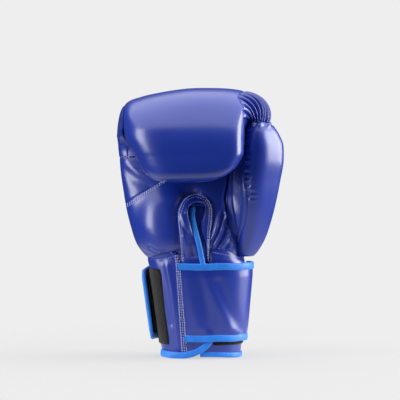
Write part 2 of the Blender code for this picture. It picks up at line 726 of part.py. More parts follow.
clear_scene()
PARTS = new_collection("boxing_glove")
CUTTERS = new_collection("cutters")
FRAME = bpy.data.objects.new("glove_frame", None)
PARTS.objects.link(FRAME)
build_mitt_covers()
build_mitt_padding()
build_mitt_lining()
build_grip_bar()
build_palm_slit()
thumb_pivot = new_pivot("thumb_pivot", in_frame(44, -12, 108), FRAME)
build_thumb(thumb_pivot)
build_thumb_web()
build_cuff()
build_strap()
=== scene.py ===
"""Looks of the boxing glove: leather panels, seams, folds, stitches, strap, foam and lining.

The mitt is a padded tube that runs up the hand, curls over at the knuckles and comes down in front. A point
of it is given by its place along the tube's spine, its angle round the section and its depth below the
surface. Lengths are millimetres in the hand's own axes until a mesh is made.
"""

import math

import bpy
import numpy as np
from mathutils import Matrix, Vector
from mathutils.bvhtree import BVHTree


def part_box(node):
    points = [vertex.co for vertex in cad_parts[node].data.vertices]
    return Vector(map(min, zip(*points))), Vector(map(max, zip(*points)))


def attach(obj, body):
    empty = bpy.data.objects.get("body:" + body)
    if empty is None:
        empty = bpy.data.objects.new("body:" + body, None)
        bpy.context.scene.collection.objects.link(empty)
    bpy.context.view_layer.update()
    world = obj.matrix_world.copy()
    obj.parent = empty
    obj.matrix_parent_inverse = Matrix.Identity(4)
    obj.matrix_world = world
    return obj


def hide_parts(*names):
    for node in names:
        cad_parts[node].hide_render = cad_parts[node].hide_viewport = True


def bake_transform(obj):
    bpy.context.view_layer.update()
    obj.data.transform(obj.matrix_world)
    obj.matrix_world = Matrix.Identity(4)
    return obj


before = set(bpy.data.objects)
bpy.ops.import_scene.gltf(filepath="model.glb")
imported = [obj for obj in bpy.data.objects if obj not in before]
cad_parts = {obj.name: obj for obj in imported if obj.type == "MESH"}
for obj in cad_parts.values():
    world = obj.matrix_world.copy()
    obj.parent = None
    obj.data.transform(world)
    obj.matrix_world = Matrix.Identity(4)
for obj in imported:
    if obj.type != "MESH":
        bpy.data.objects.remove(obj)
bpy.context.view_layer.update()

MM = 0.001

# ---------------------------------------------------------------- driving dimensions, in millimetres
HAND_BOTTOM = 99.5
KNUCKLE_Z = 205.0
KNUCKLE_Y = 8.0
CURL_RADIUS = 26.0
TIP_Z = 176.0
CUFF_BOTTOM = 6.6
CUFF_TOP = 98.0
CUFF_POWER = 2.4
CUFF_CENTRE_Y = -3.0
CUFF_SIZES = ((38.5, 51.0), (41.0, 49.0), (29.0, 33.0))  # left, right, depth: at the bottom and at the top
STRAP_OUT = 5.0  # the strap's outer surface, outside the cuff's leather
STRAP_LOW = 17.0
STRAP_HIGH = 95.5
BINDING_HEIGHT = 7.0
STRAP_ROOT = 257.6 - 360
STRAP_CORNER = 137.0
STRAP_END = 187.0
STRAP_SPLIT = 62.0  # where the strap's two leather pieces are joined, at the back

PAPER = 0.855  # brightness of the background
FLOOR_GLOW = 0.58  # keeps the floor as pale as the background

grip_low, grip_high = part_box("grip_bar")
Y_ORIGIN = (grip_low.y + grip_high.y) / 2 / MM + CURL_RADIUS - KNUCKLE_Y  # the bar lies on the curl's axis


# ---------------------------------------------------------------- curves and tables
def smooth(x, keys, values):
    """A smooth curve through the values that doesn't overshoot them (monotone cubic)."""
    keys, values = np.asarray(keys, float), np.asarray(values, float)
    step = np.diff(keys)
    slope = np.diff(values) / step
    tangent = np.zeros(len(keys))
    tangent[0], tangent[-1] = slope[0], slope[-1]
    for i in range(1, len(keys) - 1):
        if slope[i - 1] * slope[i] > 0:
            a, b = 2 * step[i] + step[i - 1], step[i] + 2 * step[i - 1]
            tangent[i] = (a + b) / (a / slope[i - 1] + b / slope[i])
    x = np.clip(x, keys[0], keys[-1])
    i = np.clip(np.searchsorted(keys, x, side="right") - 1, 0, len(keys) - 2)
    t = (x - keys[i]) / step[i]
    return (
        (2 * t**3 - 3 * t**2 + 1) * values[i]
        + (t**3 - 2 * t**2 + t) * step[i] * tangent[i]
        + (-2 * t**3 + 3 * t**2) * values[i + 1]
        + (t**3 - t**2) * step[i] * tangent[i + 1]
    )


def ramp(x, low, high):
    t = np.clip((x - low) / (high - low), 0, 1)
    return t * t * (3 - 2 * t)


def bump(distance, width):
    return np.exp(-((distance / width) ** 2))


def spline(points, count):
    """count points along a smooth curve through the given ones."""
    points = np.asarray(points, float)
    length = np.concatenate([[0], np.cumsum(np.linalg.norm(np.diff(points, axis=0), axis=1))])
    fine = np.linspace(0, length[-1], count)
    return np.stack([smooth(fine, length, points[:, k]) for k in range(points.shape[1])], axis=1)


def line_distance(x, z, line):
    """Distance in front view from (x, z) to a broken line."""
    best = np.full(np.broadcast(x, z).shape, 1e9)
    for (ax, az), (bx, bz) in zip(line[:-1], line[1:]):
        dx, dz = bx - ax, bz - az
        t = np.clip(((x - ax) * dx + (z - az) * dz) / (dx * dx + dz * dz), 0, 1)
        best = np.minimum(best, np.hypot(x - ax - t * dx, z - az - t * dz))
    return best


def folds(x, z, *rows):
    """Ridges and valleys along lines in the front view: each row is a line, a height and a width."""
    return sum(high * bump(line_distance(x, z, line), wide) for line, high, wide in rows)


def shaped(cosine, power):
    return np.sign(cosine) * np.abs(cosine) ** (2 / power)


# ---------------------------------------------------------------- the mitt's tube
HAND = KNUCKLE_Z - HAND_BOTTOM
CURL = math.pi * CURL_RADIUS
FINGER = 2 * (KNUCKLE_Z - TIP_Z)
SPINE_END = HAND + CURL + FINGER


def spine_at(height=None, curl=None, finger=None):
    """Place along the spine, from a height on the hand, a curl angle or a height on the fingers.

    Places crowd together towards the fingers' tip, so that the tube closes there with a round end.
    """
    if height is not None:
        return height - HAND_BOTTOM
    if curl is not None:
        return HAND + math.radians(curl) * CURL_RADIUS
    return HAND + CURL + FINGER * (1 - math.sqrt((finger - TIP_Z) / (KNUCKLE_Z - TIP_Z)))


def spine_frame(place):
    """The spine's centre (y, z) and the angle of its outward side."""
    turn = np.clip((place - HAND) / CURL_RADIUS, 0, math.pi)
    part = np.clip((place - HAND - CURL) / FINGER, 0, 1)
    curled_y = KNUCKLE_Y - CURL_RADIUS * (1 - np.cos(turn))
    y = np.where(place < HAND, KNUCKLE_Y * np.clip(place / HAND, 0, 1), curled_y)
    finger_z = TIP_Z + (KNUCKLE_Z - TIP_Z) * (1 - part) ** 2
    z = np.where(place < HAND, HAND_BOTTOM + place, KNUCKLE_Z + CURL_RADIUS * np.sin(turn))
    return y, np.where(place > HAND + CURL, finger_z, z), turn


# place, then x of the left and right sides, and half depths outwards and towards the palm
MITT = np.array([
    (spine_at(height=99.5), -52.5, 44, 34, 34),
    (spine_at(height=107), -59.5, 44.5, 36.5, 35.5),
    (spine_at(height=115), -64.5, 45, 39, 37),
    (spine_at(height=130), -69.5, 45, 43, 36.5),
    (spine_at(height=150), -74.5, 49, 47, 32),
    (spine_at(height=165), -77, 54, 49, 28.5),
    (spine_at(height=190), -80.5, 62, 48, 24),
    (spine_at(height=205), -81.5, 66, 46, 21),
    (spine_at(curl=45), -82, 69, 43, 18),
    (spine_at(curl=70), -81, 69, 40, 17),
    (spine_at(curl=90), -79.5, 68, 39, 17),
    (spine_at(curl=110), -78, 60, 40, 17),
    (spine_at(curl=135), -76, 49.5, 42, 17),
    (spine_at(curl=146), -74.5, 45.5, 42.7, 16.8),
    (spine_at(curl=160), -72.5, 43.6, 43.5, 16.5),
    (spine_at(curl=180), -65, 43, 43.5, 16),
    (spine_at(finger=198), -61.5, 39.7, 43.9, 15.8),
    (spine_at(finger=192), -59, 36, 44, 15.2),
    (spine_at(finger=187), -56, 31, 43.7, 14.4),
    (spine_at(finger=183), -52, 25, 42.3, 13.2),
    (spine_at(finger=180), -48, 18.5, 38.8, 11.2),
    (spine_at(finger=178), -43, 13, 33, 9),
    (spine_at(finger=176.9), -36, 7.5, 25, 6.5),
    (spine_at(finger=176.3), -29, 2, 16, 4),
    (spine_at(finger=TIP_Z), -18, -7, 0.5, 0.3),
])
POCKET = np.array([
    (spine_at(height=99.5), -40, 31, 21, 20),
    (spine_at(height=130), -42, 35, 18, 17),
    (spine_at(height=165), -44, 40, 16, 16),
    (spine_at(height=205), -44, 42, 15, 14),
    (spine_at(curl=45), -44, 41, 13, 12.5),
    (spine_at(curl=90), -43, 40, 12, 12),
    (spine_at(curl=135), -42, 38, 12, 11.5),
    (spine_at(curl=180), -40, 30, 11.5, 11),
    (spine_at(finger=188), -34, 22, 9, 8),
    (spine_at(finger=181), -17, 1, 4, 3),
    (spine_at(finger=TIP_Z), -13.5, -11.5, 0.4, 0.2),
])
OUTER_POWER = 3.3
PALM_POWER = 2.5
LIP_POWER = 1.6  # squarer yet towards the thumb, where the fingers come down


def section_centre(place):
    return smooth(place, [spine_at(finger=190), spine_at(finger=178), SPINE_END], [0, -11, -12.5])


def section(table, place, angle):
    left, right, outer, inner = (smooth(place, table[:, 0], table[:, i]) for i in range(1, 5))
    centre = section_centre(place)
    cosine, sine = np.cos(np.radians(angle)), np.sin(np.radians(angle))
    power = PALM_POWER + (OUTER_POWER - PALM_POWER) * ramp(sine, -0.25, 0.25)
    towards_thumb = ramp(cosine, 0.1, 0.7) * ramp(place, spine_at(curl=110), spine_at(curl=150))
    power = power + LIP_POWER * towards_thumb
    across = centre + np.where(cosine >= 0, right - centre, centre - left) * shaped(cosine, power)
    return across, np.where(sine >= 0, outer, inner) * shaped(sine, power)


def mitt(place, angle, depth=0.0, of_pocket=False):
    """Points at a depth below the mitt's outer surface, or below the pocket's."""
    place, angle = np.broadcast_arrays(np.asarray(place, float), np.asarray(angle, float))
    x, out = section(MITT, place, angle)
    pocket_x, pocket_out = section(POCKET, place, angle)
    dx, dout = pocket_x - x, pocket_out - out
    size = np.maximum(np.hypot(dx, dout), 1e-6)
    if of_pocket:
        x, out = pocket_x, pocket_out
    x, out = x + dx / size * depth, out + dout / size * depth
    y, z, turn = spine_frame(place)
    z = z + out * np.sin(turn)
    if not of_pocket:
        # the top falls away towards the little finger
        z = z - 3.8 * ramp(-x, 0, 52) * (1 - ramp(-x, 58, 82)) * ramp(z, 228, 258)
    return np.stack([x, y + out * np.cos(turn), z], axis=-1)


def palm_angle(x, z):
    """Angle round the hand's section of the palm's surface at x and height z."""
    place = z - HAND_BOTTOM
    left, right = smooth(place, MITT[:, 0], MITT[:, 1]), smooth(place, MITT[:, 0], MITT[:, 2])
    part = np.clip(np.where(x >= 0, x / right, x / left), 0, 1)
    turn = np.degrees(np.arccos(part ** (PALM_POWER / 2)))
    return np.where(x >= 0, 360 - turn, 180 + turn)


def palm(x, z, depth=0.0):
    return mitt(np.asarray(z, float) - HAND_BOTTOM, palm_angle(x, z), depth)


def left_seam(place):
    keys = [0] + [spine_at(curl=c) for c in (40, 90, 120, 150)]
    return smooth(place, keys, [148, 148, 159, 167, 186])


def right_seam(place):
    keys = [0] + [spine_at(curl=c) for c in (30, 60, 120, 135, 150, 160)]
    return smooth(place, keys, [42, 45, 60, 58, 42, 18, -6])


SIDE_SEAM_Z = 200.5


def diagonal_seam(angle):
    return smooth(angle, [148, 180, 248, 262], [148, 153, 177, SIDE_SEAM_Z])


def wrist_line(angle):
    """Height of the seam between the hand and the cuff: it rises towards the slit."""
    return smooth(angle, [0, 190, 212, 250, 285, 300, 322, 360], [100, 100, 101.5, 108, 110, 108, 104, 100])


def welt_x(z):
    """Front-view line of the double welt between the palm and the thumb's web."""
    return smooth(z, [108, 120, 140, 160, 172, 203], [40, 33.4, 27, 25, 27, 30])


# ---------------------------------------------------------------- the thumb
# z, centre x and y, half length along its broad face, half thickness, and the angle its face turns outwards
THUMB = np.array([
    (100.0, 43.0, -12, 9, 8, 40),
    (106, 46.2, -14, 11.5, 9.2, 41),
    (120, 51.0, -18, 15, 11, 43),
    (135, 54.2, -22, 17, 12.3, 44),
    (150, 56.8, -26, 18.5, 13.2, 44),
    (175, 60.2, -31, 20.5, 13.8, 43),
    (198, 63.4, -34, 21, 14, 42),
    (212, 63.8, -35, 20.3, 13.6, 42),
    (224, 61.8, -35, 17.4, 12.2, 43),
    (232, 59.6, -34.5, 13.8, 10.6, 45),
    (236.5, 58.5, -34, 11, 9, 46),
])
THUMB_POWER = 2.9
THUMB_TOP = 236.5


def thumb(z, angle, depth=0.0):
    """Points of the thumb: angle 0 is along its face to the back, 90 out of the face, 180 to the front."""
    z, angle = np.broadcast_arrays(np.asarray(z, float), np.asarray(angle, float))
    centre_x, centre_y, long, thick, turn = (smooth(z, THUMB[:, 0], THUMB[:, i]) for i in range(1, 6))
    a = np.maximum(long - depth, 0.5) * shaped(np.cos(np.radians(angle)), THUMB_POWER)
    b = np.maximum(thick - depth, 0.5) * shaped(np.sin(np.radians(angle)), THUMB_POWER)
    cosine, sine = np.cos(np.radians(turn)), np.sin(np.radians(turn))
    return np.stack([centre_x + a * cosine + b * sine, centre_y + a * sine - b * cosine, z], axis=-1)


def thumb_front_seam(z):
    return smooth(z, [100, 120, 135, 151, 167, 191, 210, 236], [196, 188, 176, 171, 178, 200, 210, 212])


THUMB_BACK_SEAM = 4.0


# ---------------------------------------------------------------- the cuff
def cuff(z, angle, out=0.0):
    z, angle = np.broadcast_arrays(np.asarray(z, float), np.asarray(angle, float))
    part = (z - CUFF_BOTTOM) / (CUFF_TOP - CUFF_BOTTOM)
    left, right, deep = (low + (high - low) * part + out for low, high in CUFF_SIZES)
    cosine, sine = np.cos(np.radians(angle)), np.sin(np.radians(angle))
    x = np.where(cosine >= 0, right, left) * shaped(cosine, CUFF_POWER)
    return np.stack([x, CUFF_CENTRE_Y + deep * shaped(sine, CUFF_POWER), z], axis=-1)


def cuff_angle(x, z):
    """Angle of the cuff's front at x and height z, from 180 on the left to 360 on the right."""
    part = (z - CUFF_BOTTOM) / (CUFF_TOP - CUFF_BOTTOM)
    left, right = (low + (high - low) * part for low, high in CUFF_SIZES[:2])
    share = np.clip(np.abs(x) / np.where(x >= 0, right, left), 0, 1)
    turn = np.degrees(np.arccos(share ** (CUFF_POWER / 2)))
    return np.where(x >= 0, 360 - turn, 180 + turn)


def seam_band_edges(z):
    """Angles of the stitched band's left and right edges."""
    part = (z - CUFF_BOTTOM) / (CUFF_TOP - CUFF_BOTTOM)
    return 245.8 + 0 * part, 256.0 - 4.4 * part


# ---------------------------------------------------------------- materials
class Nodes:
    """A material's node tree, built from short calls."""

    def __init__(self, name):
        self.material = bpy.data.materials.new(name)
        self.material.use_nodes = True
        self.tree = self.material.node_tree
        self.shader = self.tree.nodes["Principled BSDF"]
        self.coordinates = self.add("ShaderNodeTexCoord").outputs["Object"]

    def add(self, kind, **values):
        node = self.tree.nodes.new(kind)
        for key, value in values.items():
            if key in node.inputs:
                self.put(node.inputs[key], value)
            else:
                setattr(node, key, value)
        return node

    def put(self, socket, value):
        if isinstance(value, bpy.types.NodeSocket):
            self.tree.links.new(value, socket)
        else:
            socket.default_value = value

    def noise(self, scale, detail=3.0, rough=0.5):
        node = self.add("ShaderNodeTexNoise", Scale=scale, Detail=detail, Roughness=rough)
        self.put(node.inputs["Vector"], self.coordinates)
        return node.outputs["Fac"]

    def cells(self, scale):
        node = self.add("ShaderNodeTexVoronoi", Scale=scale, feature="SMOOTH_F1")
        self.put(node.inputs["Vector"], self.coordinates)
        return node.outputs["Distance"]

    def waves(self, scale, direction):
        node = self.add("ShaderNodeTexWave", Scale=scale, Distortion=1.2, bands_direction=direction)
        self.put(node.inputs["Vector"], self.coordinates)
        return node.outputs["Fac"]

    def colours(self, factor, low, high, start=0.3, end=0.7):
        node = self.add("ShaderNodeValToRGB")
        node.color_ramp.elements[0].position, node.color_ramp.elements[1].position = start, end
        node.color_ramp.elements[0].color, node.color_ramp.elements[1].color = (*low, 1), (*high, 1)
        self.put(node.inputs["Fac"], factor)
        return node.outputs["Color"]

    def span(self, factor, low, high):
        node = self.add("ShaderNodeMapRange", Value=factor)
        node.inputs["To Min"].default_value, node.inputs["To Max"].default_value = low, high
        return node.outputs["Result"]

    def total(self, *parts):
        """Sum of (socket, weight) pairs."""
        result = None
        for socket, weight in parts:
            scaled = self.add("ShaderNodeMath", operation="MULTIPLY")
            self.put(scaled.inputs[0], socket)
            scaled.inputs[1].default_value = weight
            if result is None:
                result = scaled.outputs[0]
                continue
            added = self.add("ShaderNodeMath", operation="ADD")
            self.put(added.inputs[0], result)
            self.put(added.inputs[1], scaled.outputs[0])
            result = added.outputs[0]
        return result

    def finish(self, colour, roughness, height=None, strength=0.2, distance=0.0002, **constants):
        self.put(self.shader.inputs["Base Color"], colour)
        self.put(self.shader.inputs["Roughness"], roughness)
        if height is not None:
            node = self.add("ShaderNodeBump", Strength=strength, Distance=distance, Height=height)
            self.put(self.shader.inputs["Normal"], node.outputs["Normal"])
        for key, value in constants.items():
            self.shader.inputs[key.replace("_", " ")].default_value = value
        return self.material


def leather(name, low, high, rough=(0.30, 0.40)):
    """Coated synthetic leather: a fine grain under a clear, slightly soft gloss."""
    n = Nodes(name)
    grain = n.cells(900.0)
    broad = n.noise(14.0)
    height = n.total((grain, 0.6), (n.noise(260.0), 0.5), (n.noise(60.0), 0.6))
    colour = n.colours(broad, low, high)
    roughness = n.span(n.noise(45.0), *rough)
    return n.finish(colour, roughness, height, 0.10, 0.00025, Coat_Weight=0.6, Coat_Roughness=0.24,
                    Coat_IOR=1.55,
                    Specular_IOR_Level=0.5)


def webbing(name, low, high, rough, scale=700.0, sheen=0.3):
    """Woven tape: fine ribs across and along."""
    n = Nodes(name)
    ribs = n.total((n.waves(scale, "X"), 0.4), (n.waves(scale, "Z"), 0.4), (n.noise(1400.0), 0.5))
    colour = n.colours(n.noise(120.0), low, high)
    return n.finish(colour, n.span(n.noise(300.0), *rough), ribs, 0.35, 0.0002, Sheen_Weight=sheen,
                    Sheen_Roughness=0.4)


def fuzz(name, low, high):
    """The loop side of hook-and-loop tape."""
    n = Nodes(name)
    height = n.total((n.noise(2200.0, 6.0, 0.8), 1.0), (n.cells(1600.0), 0.6))
    colour = n.colours(n.noise(900.0, 5.0, 0.7), low, high)
    return n.finish(colour, n.span(n.noise(200.0), 0.85, 1.0), height, 0.9, 0.0006, Sheen_Weight=0.25,
                    Sheen_Roughness=0.5, Specular_IOR_Level=0.2)


def foam_material(name):
    n = Nodes(name)
    height = n.total((n.cells(500.0), 1.0), (n.noise(150.0), 0.5))
    colour = n.colours(n.noise(40.0), (0.72, 0.70, 0.62), (0.88, 0.87, 0.81))
    return n.finish(colour, n.span(n.noise(90.0), 0.8, 0.95), height, 0.6, 0.0006)


def thread(name, colour):
    n = Nodes(name)
    shade = n.colours(n.noise(500.0), tuple(0.8 * c for c in colour), colour)
    return n.finish(shade, n.span(n.noise(300.0), 0.4, 0.6), n.waves(2500.0, "DIAGONAL"), 0.3, 0.0001)


MATERIALS = {
    "glove_leather": leather("royal_blue_leather", (0.0055, 0.028, 0.31), (0.0075, 0.036, 0.36)),
    "azure_binding": webbing("azure_tape", (0.008, 0.19, 0.78), (0.014, 0.25, 0.92), (0.34, 0.5)),
    "loop_tape": fuzz("black_loop", (0.002, 0.002, 0.0018), (0.008, 0.0075, 0.007)),
    "hook_tape": fuzz("black_hook", (0.008, 0.008, 0.008), (0.03, 0.03, 0.03)),
    "padding_foam": foam_material("cream_foam"),
    "lining_cloth": webbing("dark_lining", (0.012, 0.013, 0.022), (0.026, 0.028, 0.04), (0.7, 0.9), 500, 0.1),
}
PALE_THREAD = thread("pale_thread", (0.5, 0.56, 1.0))
DARK_THREAD = thread("navy_thread", (0.006, 0.010, 0.075))


# ---------------------------------------------------------------- meshes
SURFACES = []  # outer faces of the leather, which stitches are laid on


def to_frame(points):
    moved = np.asarray(points, float).reshape(-1, 3) + np.array([0, Y_ORIGIN, 0])
    return moved * MM


def new_piece(name, points, faces, slot, body, nodes=(), material=None, sharp=50):
    mesh = bpy.data.meshes.new(name)
    mesh.from_pydata(to_frame(points).tolist(), [], faces)
    mesh.validate()
    mesh.shade_smooth()
    mesh.set_sharp_from_angle(angle=math.radians(sharp))
    obj = bpy.data.objects.new(name, mesh)
    bpy.context.scene.collection.objects.link(obj)
    mesh.materials.append(material or MATERIALS[slot])
    if body:
        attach(obj, body)
    if nodes:
        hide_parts(*nodes)
    return obj


def normals_of(points, outward):
    du = np.gradient(points, axis=0)
    dv = np.gradient(points, axis=1)
    normal = np.cross(du, dv)
    size = np.linalg.norm(normal, axis=2, keepdims=True)
    normal = normal / np.maximum(size, 1e-9)
    if (normal * outward).sum() < 0:
        normal = -normal
    return normal


def edge_distances(points):
    """Distance of each grid point from the first row, last row, first column and last column."""
    along = np.linalg.norm(np.diff(points, axis=0), axis=2)
    across = np.linalg.norm(np.diff(points, axis=1), axis=2)
    down = np.concatenate([np.zeros((1, points.shape[1])), np.cumsum(along, axis=0)])
    side = np.concatenate([np.zeros((points.shape[0], 1)), np.cumsum(across, axis=1)], axis=1)
    return down, down[-1:] - down, side, side[:, -1:] - side


def grid_faces(rows, columns, keep=None):
    r, c = np.meshgrid(np.arange(rows), np.arange(columns), indexing="ij")
    if keep is not None:
        r, c = r[keep], c[keep]
    a = (r * (columns + 1) + c).ravel()
    return np.stack([a, a + 1, a + columns + 2, a + columns + 1], axis=1)


def shell(outer, inner, keep=None):
    """Points and faces of a closed shell between two grids; keep marks the cells that exist."""
    rows, columns = outer.shape[0] - 1, outer.shape[1] - 1
    faces = grid_faces(rows, columns, keep)
    count = outer.shape[0] * outer.shape[1]
    points = np.concatenate([outer.reshape(-1, 3), inner.reshape(-1, 3)])
    starts, ends = faces.ravel(), np.roll(faces, -1, axis=1).ravel()
    code = starts * count + ends
    rim = ~np.isin(code, ends * count + starts)
    a, b = starts[rim], ends[rim]
    walls = np.stack([b, a, a + count, b + count], axis=1)
    faces = np.concatenate([faces, faces[:, ::-1] + count, walls])
    used = np.zeros(2 * count, bool)
    used[faces.ravel()] = True
    number = np.cumsum(used) - 1
    return points[used], number[faces]


def patch(name, place, size, slot, body, nodes=(), roll=(1.5, 4.5), edges=(1, 1, 1, 1), lift=None,
          thickness=1.3, keep=None, stitched=True):
    """A leather panel. place(u, v, depth) gives its points, and lift(points) pushes them outwards.

    The edges (first row, last row, first column, last column) roll in to their seams by their share of roll's
    depth, over roll's radius.
    """
    rows, columns = size
    u, v = np.linspace(0, 1, rows + 1)[:, None], np.linspace(0, 1, columns + 1)[None, :]
    points = place(u, v, 0.0)
    outward = points - place(u, v, 1.0)
    normal = normals_of(points, outward)
    depth, radius = roll
    rest = np.ones(points.shape[:2])
    for used, distance in zip(edges, edge_distances(points)):
        if used:
            part = 1 - np.clip(distance / radius, 0, 1)
            rest = rest * (1 - used * (1 - np.sqrt(np.maximum(1 - part**2, 0))))
    offset = -depth * (1 - rest)
    if lift is not None:
        offset = offset + lift(points)
    points = points + normal * offset[..., None]
    normal = normals_of(points, outward)
    inner = points - normal * thickness
    verts, faces = shell(points, inner, keep)
    if (np.cross(points[1, 0] - points[0, 0], points[0, 1] - points[0, 0]) * normal[0, 0]).sum() > 0:
        faces = faces[:, ::-1]
    if stitched:
        SURFACES.append((points.reshape(-1, 3), grid_faces(rows, columns, keep)))
    return new_piece(name, verts, faces.tolist(), slot, body, nodes)


def sweep(name, path, outs, profile, slot, body, nodes=(), taper=0.0):
    """A strip of a given section along a path. The section's points are (along the strip's width, outwards).

    Over the length of taper, the strip's first end is rounded.
    """
    path, outs, profile = (np.asarray(a, float) for a in (path, outs, profile))
    along = np.gradient(path, axis=0)
    along /= np.linalg.norm(along, axis=1, keepdims=True)
    outs = outs - along * (outs * along).sum(axis=1, keepdims=True)
    outs /= np.linalg.norm(outs, axis=1, keepdims=True)
    width = np.cross(along, outs)
    size = np.ones(len(path))
    if taper:
        length = np.concatenate([[0], np.cumsum(np.linalg.norm(np.diff(path, axis=0), axis=1))])
        size = np.sqrt(np.maximum(1 - (1 - np.clip(length / taper, 0, 1)) ** 2, 0.02))
    spread = width[:, None] * profile[None, :, 0:1] + outs[:, None] * profile[None, :, 1:2]
    rings = path[:, None] + spread * size[:, None, None]
    count = len(profile)
    faces = []
    for r in range(len(path) - 1):
        for c in range(count):
            a, b = r * count + c, r * count + (c + 1) % count
            faces.append((a, a + count, b + count, b))
    faces.append(tuple(range(count)))
    faces.append(tuple((len(path) - 1) * count + c for c in range(count - 1, -1, -1)))
    return new_piece(name, rings.reshape(-1, 3), faces, slot, body, nodes)


def rounded(half_width, half_thick, power=5.0, count=20, shift=0.0):
    """A rounded rectangle, or an ellipse at power 2, counter-clockwise."""
    turn = np.arange(count) * 2 * math.pi / count
    out = shift + half_thick * shaped(np.sin(turn), power)
    return np.stack([half_width * shaped(np.cos(turn), power), out], 1)


# ---------------------------------------------------------------- stitches
class Cloth:
    """The leather's outer surface, for laying thread on it."""

    def __init__(self):
        verts, faces, start = [], [], 0
        for points, quads in SURFACES:
            verts.append(points)
            faces.append(quads + start)
            start += len(points)
        self.tree = BVHTree.FromPolygons(np.concatenate(verts).tolist(), np.concatenate(faces).tolist())

    def front(self, path):
        """Front-view points (x, z) laid on what the camera's side sees."""
        points, normals = [], []
        for x, z in path:
            place, normal, _, _ = self.tree.ray_cast(Vector((x, -300, z)), Vector((0, 1, 0)))
            if place is None:
                continue
            points.append(place)
            normals.append(normal if normal.y < 0 else -normal)
        return np.array(points, float), np.array(normals, float)


def evenly(path, pitch):
    path = np.asarray(path, float)
    length = np.concatenate([[0], np.cumsum(np.linalg.norm(np.diff(path, axis=0), axis=1))])
    count = max(2, int(length[-1] / pitch))
    fine = (np.arange(count) + 0.5) * length[-1] / count
    return np.stack([np.interp(fine, length, path[:, k]) for k in range(path.shape[1])], axis=1)


def threads(name, rows, body, slot="glove_leather", material=None):
    """Stitches as one piece. Each row is (centres, normals, along, slants, length, width)."""
    rings, sides = np.array([-1, -0.8, -0.3, 0.3, 0.8, 1.0]), 6
    radius = np.sqrt(np.maximum(1 - rings**4, 0.03))
    turn = np.arange(sides) * 2 * math.pi / sides
    verts, faces, start = [], [], 0
    for centres, normals, along, slants, length, width in rows:
        for centre, normal, forward, slant in zip(centres, normals, along, slants):
            normal = normal / np.linalg.norm(normal)
            forward = forward - normal * (forward @ normal)
            forward /= np.linalg.norm(forward)
            side = np.cross(normal, forward)
            turned = forward * math.cos(math.radians(slant)) + side * math.sin(math.radians(slant))
            across = np.cross(normal, turned)
            core = centre + normal * (0.25 * width - 0.35 * width * rings[:, None] ** 2) + turned * (
                rings[:, None] * length / 2)
            circle = (across * np.cos(turn)[:, None] + normal * np.sin(turn)[:, None]) * width / 2
            verts.append((core[:, None] + circle[None] * radius[:, None, None]).reshape(-1, 3))
            for r in range(len(rings) - 1):
                for c in range(sides):
                    a, b = start + r * sides + c, start + r * sides + (c + 1) % sides
                    faces.append((a, b, b + sides, a + sides))
            faces.append(tuple(start + c for c in range(sides - 1, -1, -1)))
            faces.append(tuple(start + (len(rings) - 1) * sides + c for c in range(sides)))
            start += len(rings) * sides
    return new_piece(name, np.concatenate(verts), faces, slot, body, (), material or PALE_THREAD, 80)


def row(laid, slants=(0,), length=2.0, width=0.75):
    points, normals = laid
    return points, normals, np.gradient(points,
                                        axis=0), [slants[i % len(slants)] for i in range(len(points))], \
        length, width


# ---------------------------------------------------------------- folds and pillows
SLIT_LEFT = [(0.6, 98), (-2.6, 112), (-5.8, 122), (-8.6, 132), (-11.2, 141), (-11.4, 147), (-8.4, 152.5),
             (-3, 154.8)]
SLIT_RIGHT = [(-3, 154.8), (2.6, 154), (5.6, 151), (4.2, 145), (2.8, 140), (1.2, 135), (1.6, 129), (3.4, 123),
              (6.0, 114), (6.4, 98)]
FACING_LEFT = [(-17.3, 96), (-18.6, 108), (-20.4, 126), (-22, 143.5), (-19, 154), (-13, 161.5), (-4.6, 164.6)]
FACING_RIGHT = [(-4.6, 164.6), (3.7, 162.5), (9.6, 157), (12.6, 148), (12.2, 138), (10.2, 126), (8.8, 108),
                (8.6, 96)]
FACING = FACING_LEFT + FACING_RIGHT[1:]


def palm_lift(points):
    """The heel's pillow, the hollow round the facing and the folds between the slit and the thumb."""
    x, y, z = points[..., 0], points[..., 1], points[..., 2]
    front = ramp(-y, 2, 16)
    pillow = 8.0 * np.exp(-(np.hypot((x + 32) / 26, (z - 138) / 33) ** 4))
    hollow = folds(x, z, (FACING_LEFT, -3.2, 5.0), (FACING_RIGHT, -1.2, 4.0))
    fan = folds(
        x, z,
        ([(9.5, 112), (15.5, 128), (20, 142), (24.5, 156)], 2.4, 2.4),
        ([(13, 110), (21.5, 127), (25.5, 142), (27, 152)], 2.2, 2.1),
        ([(18, 107), (24.5, 117), (28.5, 127)], 2.0, 1.9),
        ([(25, 106), (31, 113)], 1.4, 1.7),
        ([(11, 110), (18.3, 128), (23, 145)], -1.6, 1.6),
        ([(16, 108), (24, 124), (27, 135)], -1.5, 1.5),
        ([(-49, 112), (-41, 108), (-34, 107)], -2.0, 2.2),
        ([(-66, 108), (-58, 106), (-49, 104)], -1.0, 2.0),
    )
    fan = fan * ramp(z, 101, 109) * ramp(-z, -160, -142)
    welt = 1.4 * bump(x - welt_x(z) + 1.4, 1.3) * ramp(z, 106, 112)
    return front * (pillow + hollow + fan + welt)


def gore_lift(points):
    x, y, z = points[..., 0], points[..., 1], points[..., 2]
    return ramp(-y, -4, 10) * folds(
        x, z,
        ([(-74, 196), (-62, 186), (-48, 180), (-38, 178)], 1.4, 4.5),
        ([(-76, 186), (-64, 176), (-52, 171)], -1.0, 5.0),
    )


def side_lift(points):
    x, y, z = points[..., 0], points[..., 1], points[..., 2]
    creases = folds(
        x, z,
        ([(-80, 222), (-76, 227), (-72, 221), (-70, 214)], 0.8, 2.2),
        ([(-79, 214), (-75, 219), (-73, 214)], -0.7, 2.6),
    )
    return ramp(-y, -20, 0) * creases + 1.5 * bump(z - 226, 22)


# ---------------------------------------------------------------- the mitt's leather
def between(low, high, part):
    return low + (high - low) * part


